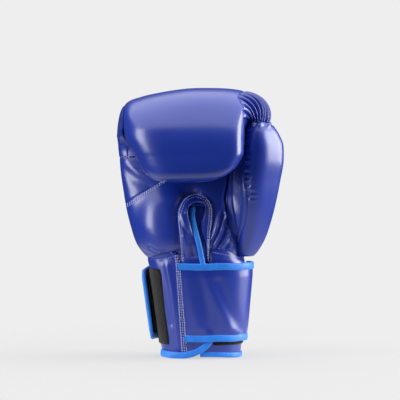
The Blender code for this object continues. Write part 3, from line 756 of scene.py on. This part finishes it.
def build_mitt():
    def fist(u, v, depth):
        place = between(0.0, SPINE_END, u)
        return mitt(place, between(right_seam(place), left_seam(place), v), depth)

    patch("fist_cover_leather", fist, (200, 150), "glove_leather", "glove", ["fist_cover"], (1.6, 4.5),
          (0.3, 0, 1, 0.6))

    def thumb_side(u, v, depth):
        place = between(0.0, spine_at(curl=156), u)
        under_gusset = 6.0 * ramp(place, spine_at(curl=50), spine_at(curl=75))
        first = smooth(place, [HAND, HAND + CURL], [-52, -6])
        return mitt(place, between(first, right_seam(place), v), depth + under_gusset)

    patch("thumb_side_leather", thumb_side, (130, 56), "glove_leather", "glove", ["thumb_side_panel"],
          edges=(0.3, 0, 0, 1))

    def little_side(u, v, depth):
        place = between(spine_at(height=SIDE_SEAM_Z), spine_at(curl=150), u)
        return mitt(place, between(left_seam(place), 212, v), depth)

    patch("little_finger_side_leather", little_side, (60, 44), "glove_leather", "glove",
          ["little_finger_side_panel"],
          (1.2, 3.5), (0.5, 1, 0.5, 1), lift=side_lift)

    def gore(u, v, depth):
        angle = between(148, 262, v)
        z = between(diagonal_seam(angle), SIDE_SEAM_Z, u)
        return mitt(z - HAND_BOTTOM, angle, depth)

    patch("side_gore_leather", gore, (44, 96), "glove_leather", "glove", ["side_gore"], (1.2, 3.5),
          (0.4, 0.5, 1, 0),
          lift=gore_lift)

    def heel(u, v, depth):
        guess = between(108.0, SIDE_SEAM_Z, u)
        last = palm_angle(welt_x(guess), guess)
        angle = between(148.0, last, v)
        z = between(wrist_line(angle), diagonal_seam(angle), u)
        return mitt(z - HAND_BOTTOM, angle, depth)

    u, v = np.linspace(0, 1, 111)[:, None], np.linspace(0, 1, 171)[None, :]
    rest = heel(u, v, 0.0)
    x, y, z = (rest[..., i] for i in range(3))
    middle = [(a[1:, 1:] + a[:-1, 1:] + a[1:, :-1] + a[:-1, :-1]) / 4 for a in (x, y, z)]
    left = np.interp(middle[2], [p[1] for p in SLIT_LEFT[:-2]], [p[0] for p in SLIT_LEFT[:-2]])
    slit = (middle[1] < 0) & (middle[0] > left - 1.2) & (middle[0] < 7.0) & (middle[2] < 152)
    patch("palm_leather", heel, (110, 170), "glove_leather", "glove", ["palm_panel"], (1.6, 4.0),
          (0.3, 0.4, 1, 1),
          lift=palm_lift, keep=~slit)

    def finger_side(u, v, depth):
        place = between(spine_at(height=SIDE_SEAM_Z + 1), SPINE_END, u)
        first, last = np.maximum(left_seam(place), 186), smooth(place, [HAND, HAND + CURL], [315, 354])
        return mitt(place, between(first, last, v), depth)

    patch("finger_side_leather", finger_side, (120, 80), "glove_leather", "glove", ["finger_side_panel"],
          edges=(0, 0, 1, 1))


def build_gusset():
    """The pleated gusset between the fist's edge and the top of the thumb; its pleats fan out."""
    pleats, deep = 12.0, 5.0

    def place(u, v, depth):
        along = spine_at(curl=58) + (spine_at(curl=143) - spine_at(curl=58)) * (0.45 * u + 0.55 * u**5)
        top = mitt(along, right_seam(along) + 1.5, 0.6)
        foot = thumb(THUMB_TOP - 0.5, between(18.0, 196.0, 0.3 * u + 0.7 * u**3), 0.4)
        puff = ((0.5 + 0.5 * ramp(u, 0, 0.3)) * (1 - 0.9 * ramp(u, 0.72, 1.0)))[..., None]
        middle = (top + foot) / 2 + puff * np.array([16.0, 0.0, 11.0])
        inward = np.array([-0.6, 0, -0.8]) * depth
        part = v[..., None]
        return (1 - part) ** 2 * top + 2 * part * (1 - part) * middle + part**2 * foot + inward

    rows, columns = 420, 48
    u, v = np.linspace(0, 1, rows + 1)[:, None], np.linspace(0, 1, columns + 1)[None, :]
    phase = pleats * (0.5 * u + 0.5 * u**4) + 0.10 * np.sin(17 * u) + 0.16 * np.sin(3.2 * v + 5 * u)
    fold = np.abs(np.sin(math.pi * phase)) ** 0.6
    depth = deep * (0.35 + 0.65 * np.sin(math.pi * (0.12 + 0.76 * v)))
    pleated = depth * (fold - 0.7) - 1.0 * bump(v, 0.05) - 0.8 * bump(1 - v, 0.05)
    obj = patch("ruched_gusset_leather", place, (rows, columns), "glove_leather", None,
                ["ruched_thumb_gusset"],
                (0, 1), lift=lambda points: pleated, thickness=1.0)
    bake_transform(obj)


def thumb_blend(obj):
    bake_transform(obj)


def build_thumb():
    def outer(u, v, depth):
        z = between(100.0, THUMB_TOP, u)
        return thumb(z, between(THUMB_BACK_SEAM, thumb_front_seam(z), v), depth)

    def puckers(points):
        z = points[..., 2]
        seam = thumb(z, thumb_front_seam(z))
        reach = np.linalg.norm(points - seam, axis=-1)
        fade = ramp(z, 150, 170) * (1 - ramp(z, 228, 236))
        waves = np.sin(z * 0.97 + 0.9 * np.sin(z * 0.31)) ** 3
        near_top = 1.0 * np.sin(reach * 0.9) * bump(z - 234, 2.5)
        return 0.85 * fade * waves * bump(reach - 3.0, 5.5) + near_top

    obj = patch("thumb_outer_leather", outer, (190, 90), "glove_leather", None, ["thumb_outer_panel"],
                (1.4, 3.5),
                (2.4, 1, 1, 1), lift=puckers)
    thumb_blend(obj)

    def inner(u, v, depth):
        z = between(100.0, THUMB_TOP, u)
        return thumb(z, between(thumb_front_seam(z), 360 + THUMB_BACK_SEAM, v), depth)

    obj = patch("thumb_inner_leather", inner, (150, 60), "glove_leather", None, ["thumb_inner_panel"],
                (1.4, 3.5),
                (2.4, 1, 1, 1))
    thumb_blend(obj)


def build_web():
    """The panel from the palm's double welt to the thumb's front seam."""
    def place(u, v, depth):
        z = between(106.0, 214.0, u)
        start = palm(welt_x(z), z, depth)
        end = thumb(z, thumb_front_seam(z) + 14, depth + 0.8)
        dip = 4.0 * v * (1 - v) * (0.6 + 2.0 * ramp(z, 120, 190))
        return start * (1 - v[..., None]) + end * v[..., None] + dip[..., None] * np.array([0, 1, 0])

    def welts(points):
        x, z = points[..., 0], points[..., 2]
        second = smooth(z, [108, 113, 132, 155, 171, 203], [40.3, 41.5, 35.7, 31.6, 31, 34])
        return ramp(z, 106,
                    112) * (1.2 * bump(x - second, 1.2) - 0.8 * bump(x - (second + welt_x(z)) / 2, 1.2))

    obj = patch("thumb_web_leather", place, (150, 60), "glove_leather", None, ["thumb_web_panel"], (1.3, 2.2),
                (1, 1, 1, 0), lift=welts)
    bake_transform(obj)


def build_facing():
    """The facing sewn round the palm slit, and the azure piping on the left flap's edge."""
    inner_line, outer_line = np.array(SLIT_LEFT + SLIT_RIGHT[1:], float), np.array(FACING, float)
    count = 170
    inner_line, outer_line = spline(inner_line, count + 1), spline(outer_line, count + 1)

    def place(u, v, depth):
        index = np.rint(u * count).astype(int).ravel()
        part = np.broadcast_to(v, (len(index), v.shape[1]))[..., None]
        flat = outer_line[index][:, None] * (1 - part) + inner_line[index][:, None] * part
        return palm(flat[..., 0], flat[..., 1], depth)

    def lift(points):
        x, z = points[..., 0], points[..., 2]
        return palm_lift(points) + 2.3 + folds(
            x, z,
            (SLIT_RIGHT[2:7], 1.1, 1.6),
            ([(-13.5, 143), (-11, 149), (-7, 154.5), (0, 156.5), (5, 155.5)], 1.3, 1.6),
            ([(-18.3, 141), (-15.5, 134), (-11.5, 128)], 0.8, 2.0),
            ([(-18, 134), (-13, 127), (-8.8, 121)], -0.7, 2.0),
            ([(-15.5, 121), (-13.5, 112), (-11.5, 96)], 1.1, 2.4),
            ([(-9, 117), (-7, 108), (-5, 100)], -0.8, 1.8),
        )

    patch("slit_facing_leather", place, (count, 22), "glove_leather", "glove", ["slit_facing"], (1.6, 2.2),
          (0, 0, 1, 1), lift=lift, thickness=2.4)

    def behind(u, v, depth):
        z = between(97.0, 153.0, u)
        x = between(-12.0, 10.0, v) + 0 * z
        return palm(x, np.maximum(z, 99.6), depth + 2.6 - 0.9 * bump(x - 3.0 + 0.1 * (z - 125), 2.2))

    patch("slit_under_flap", behind, (40, 16), "glove_leather", "glove", edges=(0, 0, 0, 0), thickness=1.0,
          stitched=False)

    route = [(-6.4, 152), (-7.2, 144), (-4.9, 130), (-1.0, 114), (3.2, 92)]
    line = spline(route, 90)
    path = palm(line[:, 0], np.maximum(line[:, 1], 100.0), -2.6)
    path[:, 2] = line[:, 1]
    path[:, 1] += smooth(line[:, 1], [90, 100, 140, 152], [-1.6, 0, 0.2, 2.4])
    outs = np.tile([0.0, -1.0, 0.0], (len(path), 1))
    sweep("slit_piping", path, outs, rounded(2.75, 2.2, 2.3, 18), "azure_binding", "glove", ["slit_binding"],
          taper=3.0)


# ---------------------------------------------------------------- the cuff and the strap
def cuff_top(angle):
    return wrist_line(np.mod(angle, 360)) + 0.1


def wrist(z, angle, out=0.0):
    """The cuff's surface, led into the hand's at the seam between them."""
    hand = mitt(np.maximum(z - HAND_BOTTOM, 0), angle, -out)
    hand[..., 2] = z
    part = ramp(z, cuff_top(angle) - 13, cuff_top(angle))[..., None]
    return cuff(z, angle, out) * (1 - part) + hand * part


def build_cuff():
    def cover(u, v, depth):
        first = smooth(between(6.0, 108.0, u), [6, 20, 96], [271, 273, 279]) - 360
        angle = between(first, 247.0, v)
        z = between(3.5, cuff_top(angle), u)
        return wrist(z, angle, -depth)

    def soft(points):
        x, y, z = (points[..., i] for i in range(3))
        creases = folds(
            x, z,
            ([(-33, 92), (-28, 70), (-23, 30), (-21, 12)], 0.9, 3.0),
            ([(-38, 96), (-33, 70), (-28, 35)], -0.7, 3.2),
        )
        return 1.2 * bump(z - 55, 34) + ramp(-y, 4, 20) * creases

    patch("cuff_leather", cover, (90, 190), "glove_leather", "glove", ["cuff_cover"], (1.2, 3.0),
          (1, 0.4, 1, 0),
          lift=soft)

    def flap(u, v, depth):
        z = between(2.0, 109.0, u)
        low = smooth(z, [2, 5, 9.6, 15, 20, 30, 95, 110], [-12, -1, 6.5, 10.8, 12, 12, 2.6, -1])
        angle = between(247.0, cuff_angle(low, z), v)
        return wrist(z, angle, 1.9 * ramp(angle, 247, 262) - depth)

    patch("cuff_flap_leather", flap, (90, 40), "glove_leather", "glove", ["cuff_left_flap"], (1.0, 2.5),
          (0, 1, 0, 1), lift=lambda p: -1.4 * bump(p[..., 2] - 104, 3.0))

    def band(u, v, depth):
        z = between(5.5, 106.5, u)
        first, last = seam_band_edges(z)
        return wrist(z, between(first, last, v), 2.2 - depth)

    def quilted(points):
        z = points[..., 2]
        return 0.25 * np.sin(z * 1.9)

    patch("seam_band_leather", band, (110, 24), "glove_leather", "glove", ["seam_band"], (1.5, 2.4),
          lift=quilted,
          thickness=1.6)

    def loops(u, v, depth):
        z = between(13.5, 89.4, u)
        last = smooth(z, [13, 21, 83, 90], [222, 223.4, 222, 219])
        return cuff(z, between(284.0 - 360, last, v), 1.7 - depth)

    def pile(points):
        x, y, z = (points[..., i] for i in range(3))
        return 0.16 * np.sin(2.1 * x + 1.3 * y) * np.sin(1.9 * z) + 0.12 * np.sin(3.7 * z + 2.9 * (x - y))

    patch("loop_tape_band", loops, (70, 150), "loop_tape", "glove", ["loop_band"], (0.6, 1.4), lift=pile,
          thickness=1.2)

    build_bottom_binding()


def build_bottom_binding():
    """Azure tape round the cuff's bottom; the left flap's sweeps up under the strap."""
    angles = np.linspace(-90.0, 238.0, 150)
    path = cuff(4.0, angles, 0.0)
    path[:, 2] = 2.9 + 1.4 * ramp(-angles, 30, 84)
    outs = cuff(4.0, angles, 3.0) - cuff(4.0, angles, 0.0)
    sweep("cuff_bottom_binding", path, outs, rounded(2.6, 1.8, 3.6, 20), "azure_binding", "glove",
          ["cuff_edge_binding"])

    line = spline([(-36.5, 5.6), (-34.5, 4.3), (-30, 3.7), (-24, 3.4), (-16, 3.5), (-8, 5.0), (-0.5, 8.4),
                   (5.5, 13.0), (9.3, 18.0), (10.4, 21.0)], 90)
    angle = cuff_angle(line[:, 0], line[:, 1])
    out = 2.4 - 2.2 * ramp(line[:, 1], 13, 19) - 1.2 * ramp(-line[:, 0], 25, 36)
    path = cuff(line[:, 1], angle, out)
    outs = cuff(line[:, 1], angle, 6.0) - cuff(line[:, 1], angle, 2.0)
    sweep("flap_edge_binding", path, outs, rounded(3.3, 2.1, 3.6, 20), "azure_binding", "glove")


def strap_out(angle):
    """How far the strap's outer surface stands off the cuff; its free end flares a little."""
    return STRAP_OUT + 5.1 * ramp(angle, STRAP_CORNER, STRAP_END + 20)


def strap_top(angle):
    """The strap's upper edge, which comes down a little towards the free end."""
    return STRAP_HIGH - 8.0 * ramp(angle, STRAP_CORNER - 10, STRAP_END - 7)


def build_strap():
    low = STRAP_LOW + BINDING_HEIGHT - 2.0

    def stretch(first, last):
        def place(u, v, depth):
            start = first(between(low, STRAP_HIGH, u)) if callable(first) else first
            angle = between(start, last, v)
            z = between(low, strap_top(angle) - BINDING_HEIGHT + 2.0, u)
            return cuff(z, angle, strap_out(angle) - depth)
        return place

    def slack(points):
        x, y, z = (points[..., i] for i in range(3))
        waves = folds(
            x, z,
            ([(-12, 92), (-9, 62), (-4, 40), (3, 14)], 1.3, 6.0),
            ([(0, 95), (3, 66), (7, 44), (11, 14)], -1.2, 5.5),
            ([(4, 84), (16, 56), (27, 35), (38, 14)], 0.9, 5.5),
            ([(18, 76), (30, 50), (42, 26)], -0.8, 6.0),
        )
        return (ramp(-y, 0, 18) * waves + 0.5) * ramp(z, 23, 31) * ramp(-z, -90, -81)

    side_hinge = Vector(cuff(STRAP_LOW, 0.0, STRAP_OUT)) * MM + Vector((0, Y_ORIGIN * MM, 0))
    corner_hinge = Vector(cuff(STRAP_LOW, STRAP_CORNER, STRAP_OUT)) * MM + Vector((0, Y_ORIGIN * MM, 0))

    def cross_side(obj):
        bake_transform(obj)

    def cross_corner(obj):
        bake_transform(obj)

    def cross_root(obj):
        hinge = Vector(cuff(STRAP_LOW, STRAP_ROOT, STRAP_OUT)) * MM
        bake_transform(obj)

    def root_left(z):
        return seam_band_edges(z)[1] - 361.4

    obj = patch("strap_root_leather", stretch(root_left, STRAP_ROOT + 0.6), (60, 14), "glove_leather", None,
                (),
                (1.4, 1.8), (0, 0, 1, 0), lift=slack, thickness=2.0)
    cross_root(obj)
    obj = patch("strap_wrap_leather", stretch(STRAP_ROOT, STRAP_SPLIT), (70, 150), "glove_leather", None,
                ["strap_front_leather"], (0.9, 2.0), (0, 0, 0, 1), lift=slack, thickness=2.2)
    cross_side(obj)
    obj = patch("strap_tail_leather", stretch(STRAP_SPLIT, STRAP_END - 3), (70, 130), "glove_leather", None,
                ["strap_back_leather", "strap_tip_leather"], (0.9, 2.0), (0, 0, 1, 0), lift=slack,
                thickness=2.2)
    cross_corner(obj)

    def tape(name, first, last, z, nodes, cross):
        angles = np.linspace(first, last, max(8, int(abs(last - first) * 0.9)))
        height = z(angles)
        path = cuff(height + 0.25 * np.sin(np.radians(angles) * 9), angles, strap_out(angles) - 0.9)
        outs = cuff(height, angles, 9.0) - cuff(height, angles, 3.0)
        obj = sweep(name, path, outs, rounded(BINDING_HEIGHT / 2, 1.9, 3.4, 22), "azure_binding", None, nodes)
        cross(obj)

    half = BINDING_HEIGHT / 2
    bottom = STRAP_LOW + half
    heights = {"top": lambda angle: strap_top(angle) - half, "bottom": lambda angle: bottom + 0 * angle}
    for label, z in heights.items():
        front, back = [f"strap_front_{label}_binding"], [f"strap_back_{label}_binding"]
        tape(f"strap_root_{label}_tape", root_left(z(np.float64(0))), STRAP_ROOT + 0.4, z, (), cross_root)
        tape(f"strap_wrap_{label}_tape", STRAP_ROOT + 0.2, STRAP_SPLIT, z, front, cross_side)
        tape(f"strap_tail_{label}_tape", STRAP_SPLIT + 0.1, 172.0, z, back, cross_corner)

    # the tape round the free end, with its two rounded corners
    top = strap_top(STRAP_END) - half
    corner = [(171.5, strap_top(171.5) - half), (178, top + 0.2), (183.0, top - 1.6), (186.2, top - 6.0),
              (187.4, top - 13), (187.4, 56), (187.4, bottom + 12), (186.2, bottom + 5.0),
              (183.0, bottom + 1.2),
              (178, bottom), (171.5, bottom)]
    line = spline(corner, 130)
    path = cuff(line[:, 1], line[:, 0], strap_out(line[:, 0]) - 0.9)
    outs = cuff(line[:, 1], line[:, 0], 9.0) - cuff(line[:, 1], line[:, 0], 3.0)
    obj = sweep("strap_end_tape", path, outs, rounded(BINDING_HEIGHT / 2, 1.9, 3.4, 22), "azure_binding",
                None,
                ["strap_tip_binding"])
    cross_corner(obj)


# ---------------------------------------------------------------- threads
def build_threads():
    cloth = Cloth()

    def front(points, pitch):
        return cloth.front(evenly(points, pitch))

    def smooth_front(points, pitch):
        return front(spline(points, 60), pitch)

    rows = []
    outline = spline(FACING, 120)
    centre = np.array([-4.5, 140.0])
    inward = centre - outline
    inward /= np.linalg.norm(inward, axis=1, keepdims=True)
    rows.append(row(front(outline + inward * 1.0, 2.3), (30, -30), 2.2, 1.05))
    rows.append(row(front(outline + inward * 3.4, 2.6), (0,), 1.7, 0.75))
    diagonal = [(x, 153.2 + (x + 72.5) * 0.66) for x in np.linspace(-73.5, -33, 30)]
    rows.append(row(front(diagonal, 2.5), (70,), 3.0, 1.1))
    rows.append(row(front([(x, z - 2.0) for x, z in diagonal], 2.5), (0,), 2.0, 1.0))
    side = [(x, SIDE_SEAM_Z + 0.5) for x in np.linspace(-79.5, -64, 14)]
    rows.append(row(front(side, 2.2), (35, -35), 2.4, 0.9))
    rows.append(row(smooth_front([(-50, 98), (-40, 98.8), (-30, 101), (-21, 104.5)], 2.4), (0,), 1.8, 0.55))
    rows.append(row(smooth_front([(12, 106.5), (24, 104), (38, 100.8), (46, 98.5)], 2.4), (0,), 1.8, 0.5))
    threads("palm_stitches", rows, "glove")

    def along_band(share):
        z = np.linspace(7.0, 104.0, 80)
        return front(cuff(z, between(*seam_band_edges(z), share))[:, [0, 2]], 2.5)

    threads("seam_band_stitches", [row(along_band(share), (0,), 1.9, 1.1) for share in (0.14, 0.46, 0.78)],
            "glove")
    rows = [row(along_band(share), (0,), 1.6, 0.8) for share in (0.3, 0.62)]
    for x in (-10.0, -6.4):
        rows.append(row(front([(x, z) for z in np.linspace(10.5, 17.5, 6)], 2.2), (0,), 1.6, 0.6))
    threads("seam_band_navy_stitches", rows, "glove", material=DARK_THREAD)


def build_soft_inside():
    """Foam and lining, which show at the wrist opening and when the glove is taken apart."""
    def slab(name, outer, inner, size, slot, body, nodes):
        rows, columns = size
        u, v = np.linspace(0, 1, rows + 1)[:, None], np.linspace(0, 1, columns + 1)[None, :]
        first, last = outer(u, v), inner(u, v)
        fade = np.minimum(1, np.minimum(*np.broadcast_arrays(
            np.minimum(u, 1 - u) * rows / 3, np.minimum(v, 1 - v) * columns / 3)))
        soft = (1 - np.sqrt(fade * (2 - fade)))[..., None] * 0.4
        first, last = first + (last - first) * soft, last + (first - last) * soft
        verts, faces = shell(first, last)
        normal = np.cross(first[1, 0] - first[0, 0], first[0, 1] - first[0, 0])
        if (normal * (first - last)[0, 0]).sum() > 0:
            faces = faces[:, ::-1]
        return new_piece(name, verts, faces.tolist(), slot, body, nodes)

    def hand_foam(first_place, last_place, first, last, name, size, node):
        def at(u, v, depth, of_pocket):
            place = between(first_place, last_place, u)
            low, high = (f(place) if callable(f) else f for f in (first, last))
            return mitt(place, between(low, high, v), depth, of_pocket)
        obj = slab(name, lambda u, v: at(u, v, 4.4, False), lambda u, v: at(u, v, -2.4, True), size,
                   "padding_foam",
                   "glove", [node])

    hand_foam(2.0, HAND - 1.5, 6, 176, "back_hand_padding", (50, 70), "back_hand_foam")
    hand_foam(HAND + 1.0, spine_at(finger=193), lambda p: np.maximum(26, right_seam(p) - 2), 172,
              "knuckle_padding", (60, 70), "knuckle_foam")
    hand_foam(3.0, 52.0, 190, 254, "palm_heel_padding", (30, 40), "palm_heel_foam")

    def tip(u, v, depth):
        place = between(spine_at(finger=189.0), spine_at(finger=180.5), u)
        return mitt(place, between(0, 360, v), depth)
    rows, columns = 24, 60
    u, v = np.linspace(0, 1, rows + 1)[:, None], np.arange(columns)[None, :] / columns
    rings = tip(u, v, 5.2)
    faces = []
    for r in range(rows):
        for c in range(columns):
            a, b = r * columns + c, r * columns + (c + 1) % columns
            faces.append((a, b, b + columns, a + columns))
    faces += [tuple(range(columns - 1, -1, -1)), tuple(rows * columns + c for c in range(columns))]
    obj = new_piece("fingertip_padding", rings.reshape(-1, 3), faces, "padding_foam", "glove",
                    ["fingertip_foam"])

    def thumb_layer(name, first, last, out, inn, low, high, slot, node):
        def at(u, v, depth):
            return thumb(between(low, high, u), between(first, last, v), depth)
        obj = slab(name, lambda u, v: at(u, v, out), lambda u, v: at(u, v, inn), (60, 40), slot, "thumb",
                   [node])

    thumb_layer("thumb_padding", 8, 196, 3.0, 5.6, 120, 228, "padding_foam", "thumb_foam")
    thumb_layer("thumb_liner_outer", 6, 174, 6.2, 7.0, 120, 224, "lining_cloth", "thumb_lining_outer")
    thumb_layer("thumb_liner_inner", 186, 354, 6.2, 7.0, 140, 224, "lining_cloth", "thumb_lining_inner")

    def around(first, last, out, inn, top, slot, name, nodes):
        def at(u, v, depth):
            return cuff(between(7.0, top, u), between(first, last, v), depth)
        obj = slab(name, lambda u, v: at(u, v, out), lambda u, v: at(u, v, inn), (50, 140), slot, "glove",
                   nodes)

    around(279.0 - 360, 270.8, -1.9, -5.2, 97.0, "padding_foam", "cuff_padding", ["cuff_foam"])
    around(279.0 - 360, 270.8, -5.6, -6.8, 97.5, "lining_cloth", "cuff_liner", ["cuff_lining"])

    def liner(name, first_place, last_place, first, last, size, nodes):
        def at(u, v, depth):
            return mitt(between(first_place, last_place, u), between(first, last, v), depth, True)
        slab(name, lambda u, v: at(u, v, -1.1), lambda u, v: at(u, v, -0.1), size, "lining_cloth", "glove",
             nodes)

    finger_end = spine_at(finger=188)
    liner("hand_liner_back", 0.0, HAND, 0.3, 179.7, (50, 60), ["hand_lining_back"])
    liner("finger_liner_outer", HAND + 0.3, finger_end, 0.3, 179.7, (50, 60), ["finger_lining_outer"])
    liner("finger_liner_inner", HAND + 0.3, finger_end, 180.3, 359.7, (50, 60), ["finger_lining_inner"])


# ---------------------------------------------------------------- floor, light and camera
def build_stage():
    """A pale floor that fades into the pale background."""
    bpy.ops.mesh.primitive_circle_add(vertices=96, radius=1.6, fill_type="NGON")
    floor = bpy.context.object
    floor.name = "pale_floor"
    material = bpy.data.materials.new("pale_floor_paint")
    material.use_nodes = True
    tree = material.node_tree
    shader = tree.nodes["Principled BSDF"]
    shader.inputs["Base Color"].default_value = (0.16, 0.16, 0.162, 1)
    shader.inputs["Roughness"].default_value = 0.9
    shader.inputs["Specular IOR Level"].default_value = 0.0
    shader.inputs["Emission Color"].default_value = (1, 1, 1, 1)
    shader.inputs["Emission Strength"].default_value = FLOOR_GLOW
    coordinates = tree.nodes.new("ShaderNodeTexCoord")
    away = tree.nodes.new("ShaderNodeVectorMath")
    away.operation = "LENGTH"
    tree.links.new(coordinates.outputs["Object"], away.inputs[0])
    fade = tree.nodes.new("ShaderNodeMapRange")
    fade.interpolation_type = "SMOOTHSTEP"
    fade.inputs["From Min"].default_value, fade.inputs["From Max"].default_value = 0.12, 0.5
    tree.links.new(away.outputs["Value"], fade.inputs["Value"])
    clear = tree.nodes.new("ShaderNodeBsdfTransparent")
    mix = tree.nodes.new("ShaderNodeMixShader")
    tree.links.new(fade.outputs["Result"], mix.inputs["Fac"])
    tree.links.new(shader.outputs["BSDF"], mix.inputs[1])
    tree.links.new(clear.outputs["BSDF"], mix.inputs[2])
    tree.links.new(mix.outputs["Shader"], tree.nodes["Material Output"].inputs["Surface"])
    floor.data.materials.append(material)


def area_light(name, place, target, size, radiance, colour=(1, 1, 1)):
    """A rectangular softbox of a given brightness."""
    light = bpy.data.lights.new(name, "AREA")
    light.shape = "RECTANGLE"
    light.size, light.size_y = size
    light.energy = radiance * math.pi * size[0] * size[1]
    light.color = colour
    obj = bpy.data.objects.new(name, light)
    bpy.context.scene.collection.objects.link(obj)
    obj.location = place
    obj.rotation_euler = (Vector(target) - Vector(place)).to_track_quat("-Z", "Y").to_euler()


def build_light():
    """Softboxes overhead, right and left; the camera's background is pale, the rest of the room dim."""
    middle = (0, 0, 0.16)
    area_light("overhead_softbox", (0.0, 0.10, 1.45), (0.0, 0.10, 0.0), (4.2, 2.7), 1.8, (1.0, 0.99, 0.98))
    area_light("right_softbox", (1.5, 0.08, 0.48), middle, (1.2, 1.15), 8.5)
    area_light("left_softbox", (-1.3, -0.55, 0.45), middle, (0.7, 0.95), 7.0)
    world = bpy.data.worlds.new("studio")
    world.use_nodes = True
    tree = world.node_tree
    room = tree.nodes["Background"]
    room.inputs["Color"].default_value = (0.9, 0.9, 0.92, 1)
    room.inputs["Strength"].default_value = 0.06
    paper = tree.nodes.new("ShaderNodeBackground")
    paper.inputs["Color"].default_value = (PAPER, PAPER, PAPER, 1)
    rays = tree.nodes.new("ShaderNodeLightPath")
    mix = tree.nodes.new("ShaderNodeMixShader")
    tree.links.new(rays.outputs["Is Camera Ray"], mix.inputs["Fac"])
    tree.links.new(room.outputs["Background"], mix.inputs[1])
    tree.links.new(paper.outputs["Background"], mix.inputs[2])
    tree.links.new(mix.outputs["Shader"], tree.nodes["World Output"].inputs["Surface"])
    bpy.context.scene.world = world
    bpy.context.scene.view_settings.view_transform = "Standard"


def build_camera():
    """A long lens from the front, a little above the glove's middle, that frames 400 mm at the glove."""
    distance, width, elevation = 2.4, 0.400, math.radians(1.5)
    aim = Vector((0.0, Y_ORIGIN * MM - 0.02, 0.158))
    data = bpy.data.cameras.new("front_camera")
    data.sensor_width = 36.0
    data.lens = data.sensor_width * distance / width
    camera = bpy.data.objects.new("front_camera", data)
    bpy.context.scene.collection.objects.link(camera)
    back = Vector((0, -math.cos(elevation), math.sin(elevation)))
    camera.location = aim + back * distance
    camera.rotation_euler = (-back).to_track_quat("-Z", "Y").to_euler()
    bpy.context.scene.camera = camera


def build_grip():
    """The padded roll in the crease between palm and fingers."""
    x = np.linspace(-66, 46, 70)
    path = np.stack([x, 0 * x + KNUCKLE_Y - CURL_RADIUS, 0 * x + KNUCKLE_Z], axis=1)
    outs = np.tile([0.0, 0.0, 1.0], (len(path), 1))
    sweep("grip_roll", path, outs, rounded(8.4, 8.4, 2, 32), "glove_leather", "glove", ["grip_bar"],
          taper=8.0)


def finish_hidden_nodes():
    """Materials for the CAD pieces that stay: the palm half of the liner and the hook patches."""
    for node, slot in (
        ("hand_lining_palm", "lining_cloth"),
        ("strap_back_hook_patch", "hook_tape"),
        ("strap_tip_hook_patch", "hook_tape"),
    ):
        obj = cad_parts[node]
        obj.data.materials.clear()
        obj.data.materials.append(MATERIALS[slot])


build_stage()
build_camera()
build_light()
build_mitt()
build_gusset()
build_thumb()
build_web()
build_facing()
build_cuff()
build_strap()
build_threads()
build_soft_inside()
build_grip()
finish_hidden_nodes()
bpy.context.view_layer.update()
